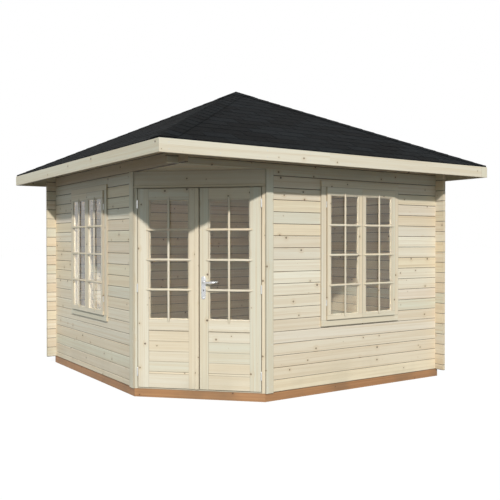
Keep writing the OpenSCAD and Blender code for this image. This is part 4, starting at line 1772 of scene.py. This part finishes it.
@dataclass(frozen=True)
class Studio:
    """A pale floor, soft light and the camera."""

    eye: tuple[float, float, float] = (-4.513, -7.042, 1.506)
    heading: float = 56.204
    tilt: float = -0.652
    lens: float = 50.65
    sensor: float = 36.0
    sight: Point = (0.05, 300.0)
    floor_size: float = 120.0
    key_from: tuple[float, float, float] = (-0.616, -1.049, 0.73)
    key_strength: float = 3.0
    key_spread: float = 2.0
    key_tint: Colour = (1.0, 0.98, 0.95)
    sky_strength: float = 0.6
    sky_tint: Colour = (0.73, 0.92, 1.0)
    floor_tint: Colour = (0.1, 0.1, 0.1)
    floor_lift: float = 0.92
    white: Colour = (1.0, 1.0, 1.0)

    @staticmethod
    def seen_rays(graph: Graph) -> Socket:
        """One for rays that show the background: to the camera, mirrored or through glass."""
        rays = graph.add("ShaderNodeLightPath", {}).outputs
        seen = graph.math("MAXIMUM", rays["Is Camera Ray"], rays["Is Glossy Ray"])
        return graph.math("MAXIMUM", seen, rays["Is Transmission Ray"])

    def lay_floor(self) -> None:
        """Lays the floor, which keeps the house's shadow and is otherwise white."""
        mesh = bpy.data.meshes.new("studio_floor")
        h = self.floor_size / 2
        mesh.from_pydata([(*p, 0) for p in rectangle(-h, h, -h, h)], [], [(0, 1, 2, 3)])
        floor = bpy.data.objects.new("studio_floor", mesh)
        bpy.context.scene.collection.objects.link(floor)
        coat = Coat("pale_floor")
        coat.feed(base_color=self.floor_tint, roughness=1.0, specular_ior_level=0.0)
        strength = coat.times(self.seen_rays(coat), self.floor_lift)
        glow = coat.add("ShaderNodeEmission", {"Color": self.white, "Strength": strength})
        both = coat.add("ShaderNodeAddShader", {0: coat.surface.outputs[0], 1: glow.outputs[0]})
        coat.put(coat.output.inputs["Surface"], both.outputs[0])
        mesh.materials.append(coat.material)

    def light(self) -> None:
        """Sets a soft key lamp and an even sky, white where it is seen."""
        lamp = bpy.data.lights.new("key", "SUN")
        lamp.energy, lamp.color = self.key_strength, self.key_tint
        lamp.angle = math.radians(self.key_spread)
        self.stand("key", lamp, -Vector(self.key_from))
        world = bpy.data.worlds.new("studio")
        bpy.context.scene.world = world
        world.use_nodes = True
        graph = Graph(world.node_tree)
        seen = self.seen_rays(graph)
        ground = world.node_tree.nodes["Background"].inputs
        graph.put(ground["Color"], graph.mix(seen, self.sky_tint, self.white))
        strength = graph.scaled(seen, 1.0 - self.sky_strength, self.sky_strength)
        graph.put(ground["Strength"], strength)

    def aim(self) -> None:
        """Places the camera at standing height in front of the cut corner."""
        data = bpy.data.cameras.new("camera")
        data.sensor_width, data.lens = self.sensor, self.lens
        data.clip_start, data.clip_end = self.sight
        yaw, pitch = math.radians(self.heading), math.radians(self.tilt)
        level = math.cos(pitch)
        look = Vector((math.cos(yaw) * level, math.sin(yaw) * level, math.sin(pitch)))
        camera = self.stand("camera", data, look)
        camera.location = self.eye
        bpy.context.scene.camera = camera

    @staticmethod
    def stand(name: str, data: bpy.types.ID, look: Vector) -> bpy.types.Object:
        """Puts a lamp or a camera in the scene, turned the given way."""
        made = bpy.data.objects.new(name, data)
        made.rotation_mode = "QUATERNION"
        made.rotation_quaternion = look.to_track_quat("-Z", "Y")
        bpy.context.scene.collection.objects.link(made)
        return made

    def set_up(self) -> None:
        """Builds the whole studio."""
        bpy.context.scene.view_settings.view_transform = "Standard"
        self.lay_floor()
        self.light()
        self.aim()


def main() -> None:
    """Builds the looks round the frame."""
    logging.basicConfig(level=logging.INFO, format="%(message)s")
    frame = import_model()
    plan = Plan.read(frame["nodes"])
    looks = Looks.make(Grain(plan.board_directions()))
    Studio().set_up()
    looks.dress(frame)

    boarding = Boarding(plan, looks)
    boarding.lay_floor()
    boarding.line_porch()
    boarding.board_roof()

    roofing = Roofing(plan, looks)
    roofing.lay_courses()
    roofing.cap_hips()
    roofing.cover_point()

    for wall in (Wall.RIGHT, Wall.LEFT):
        window = Window(plan=plan, looks=looks, wall=wall)
        window.fit_bars()
        window.fit_beads()
        window.hang()
    for hand in Hand:
        leaf = Leaf(plan=plan, looks=looks, hand=hand)
        leaf.fit_bars()
        leaf.fit_beads()
        leaf.board_panel()
        leaf.cap_hinges()
    lever = LeverSet(plan, looks)
    lever.make_plates()
    lever.cut_keyholes()
    lever.make_lever()
    Fixings(plan, looks).make()


if __name__ == "__main__":
    main()
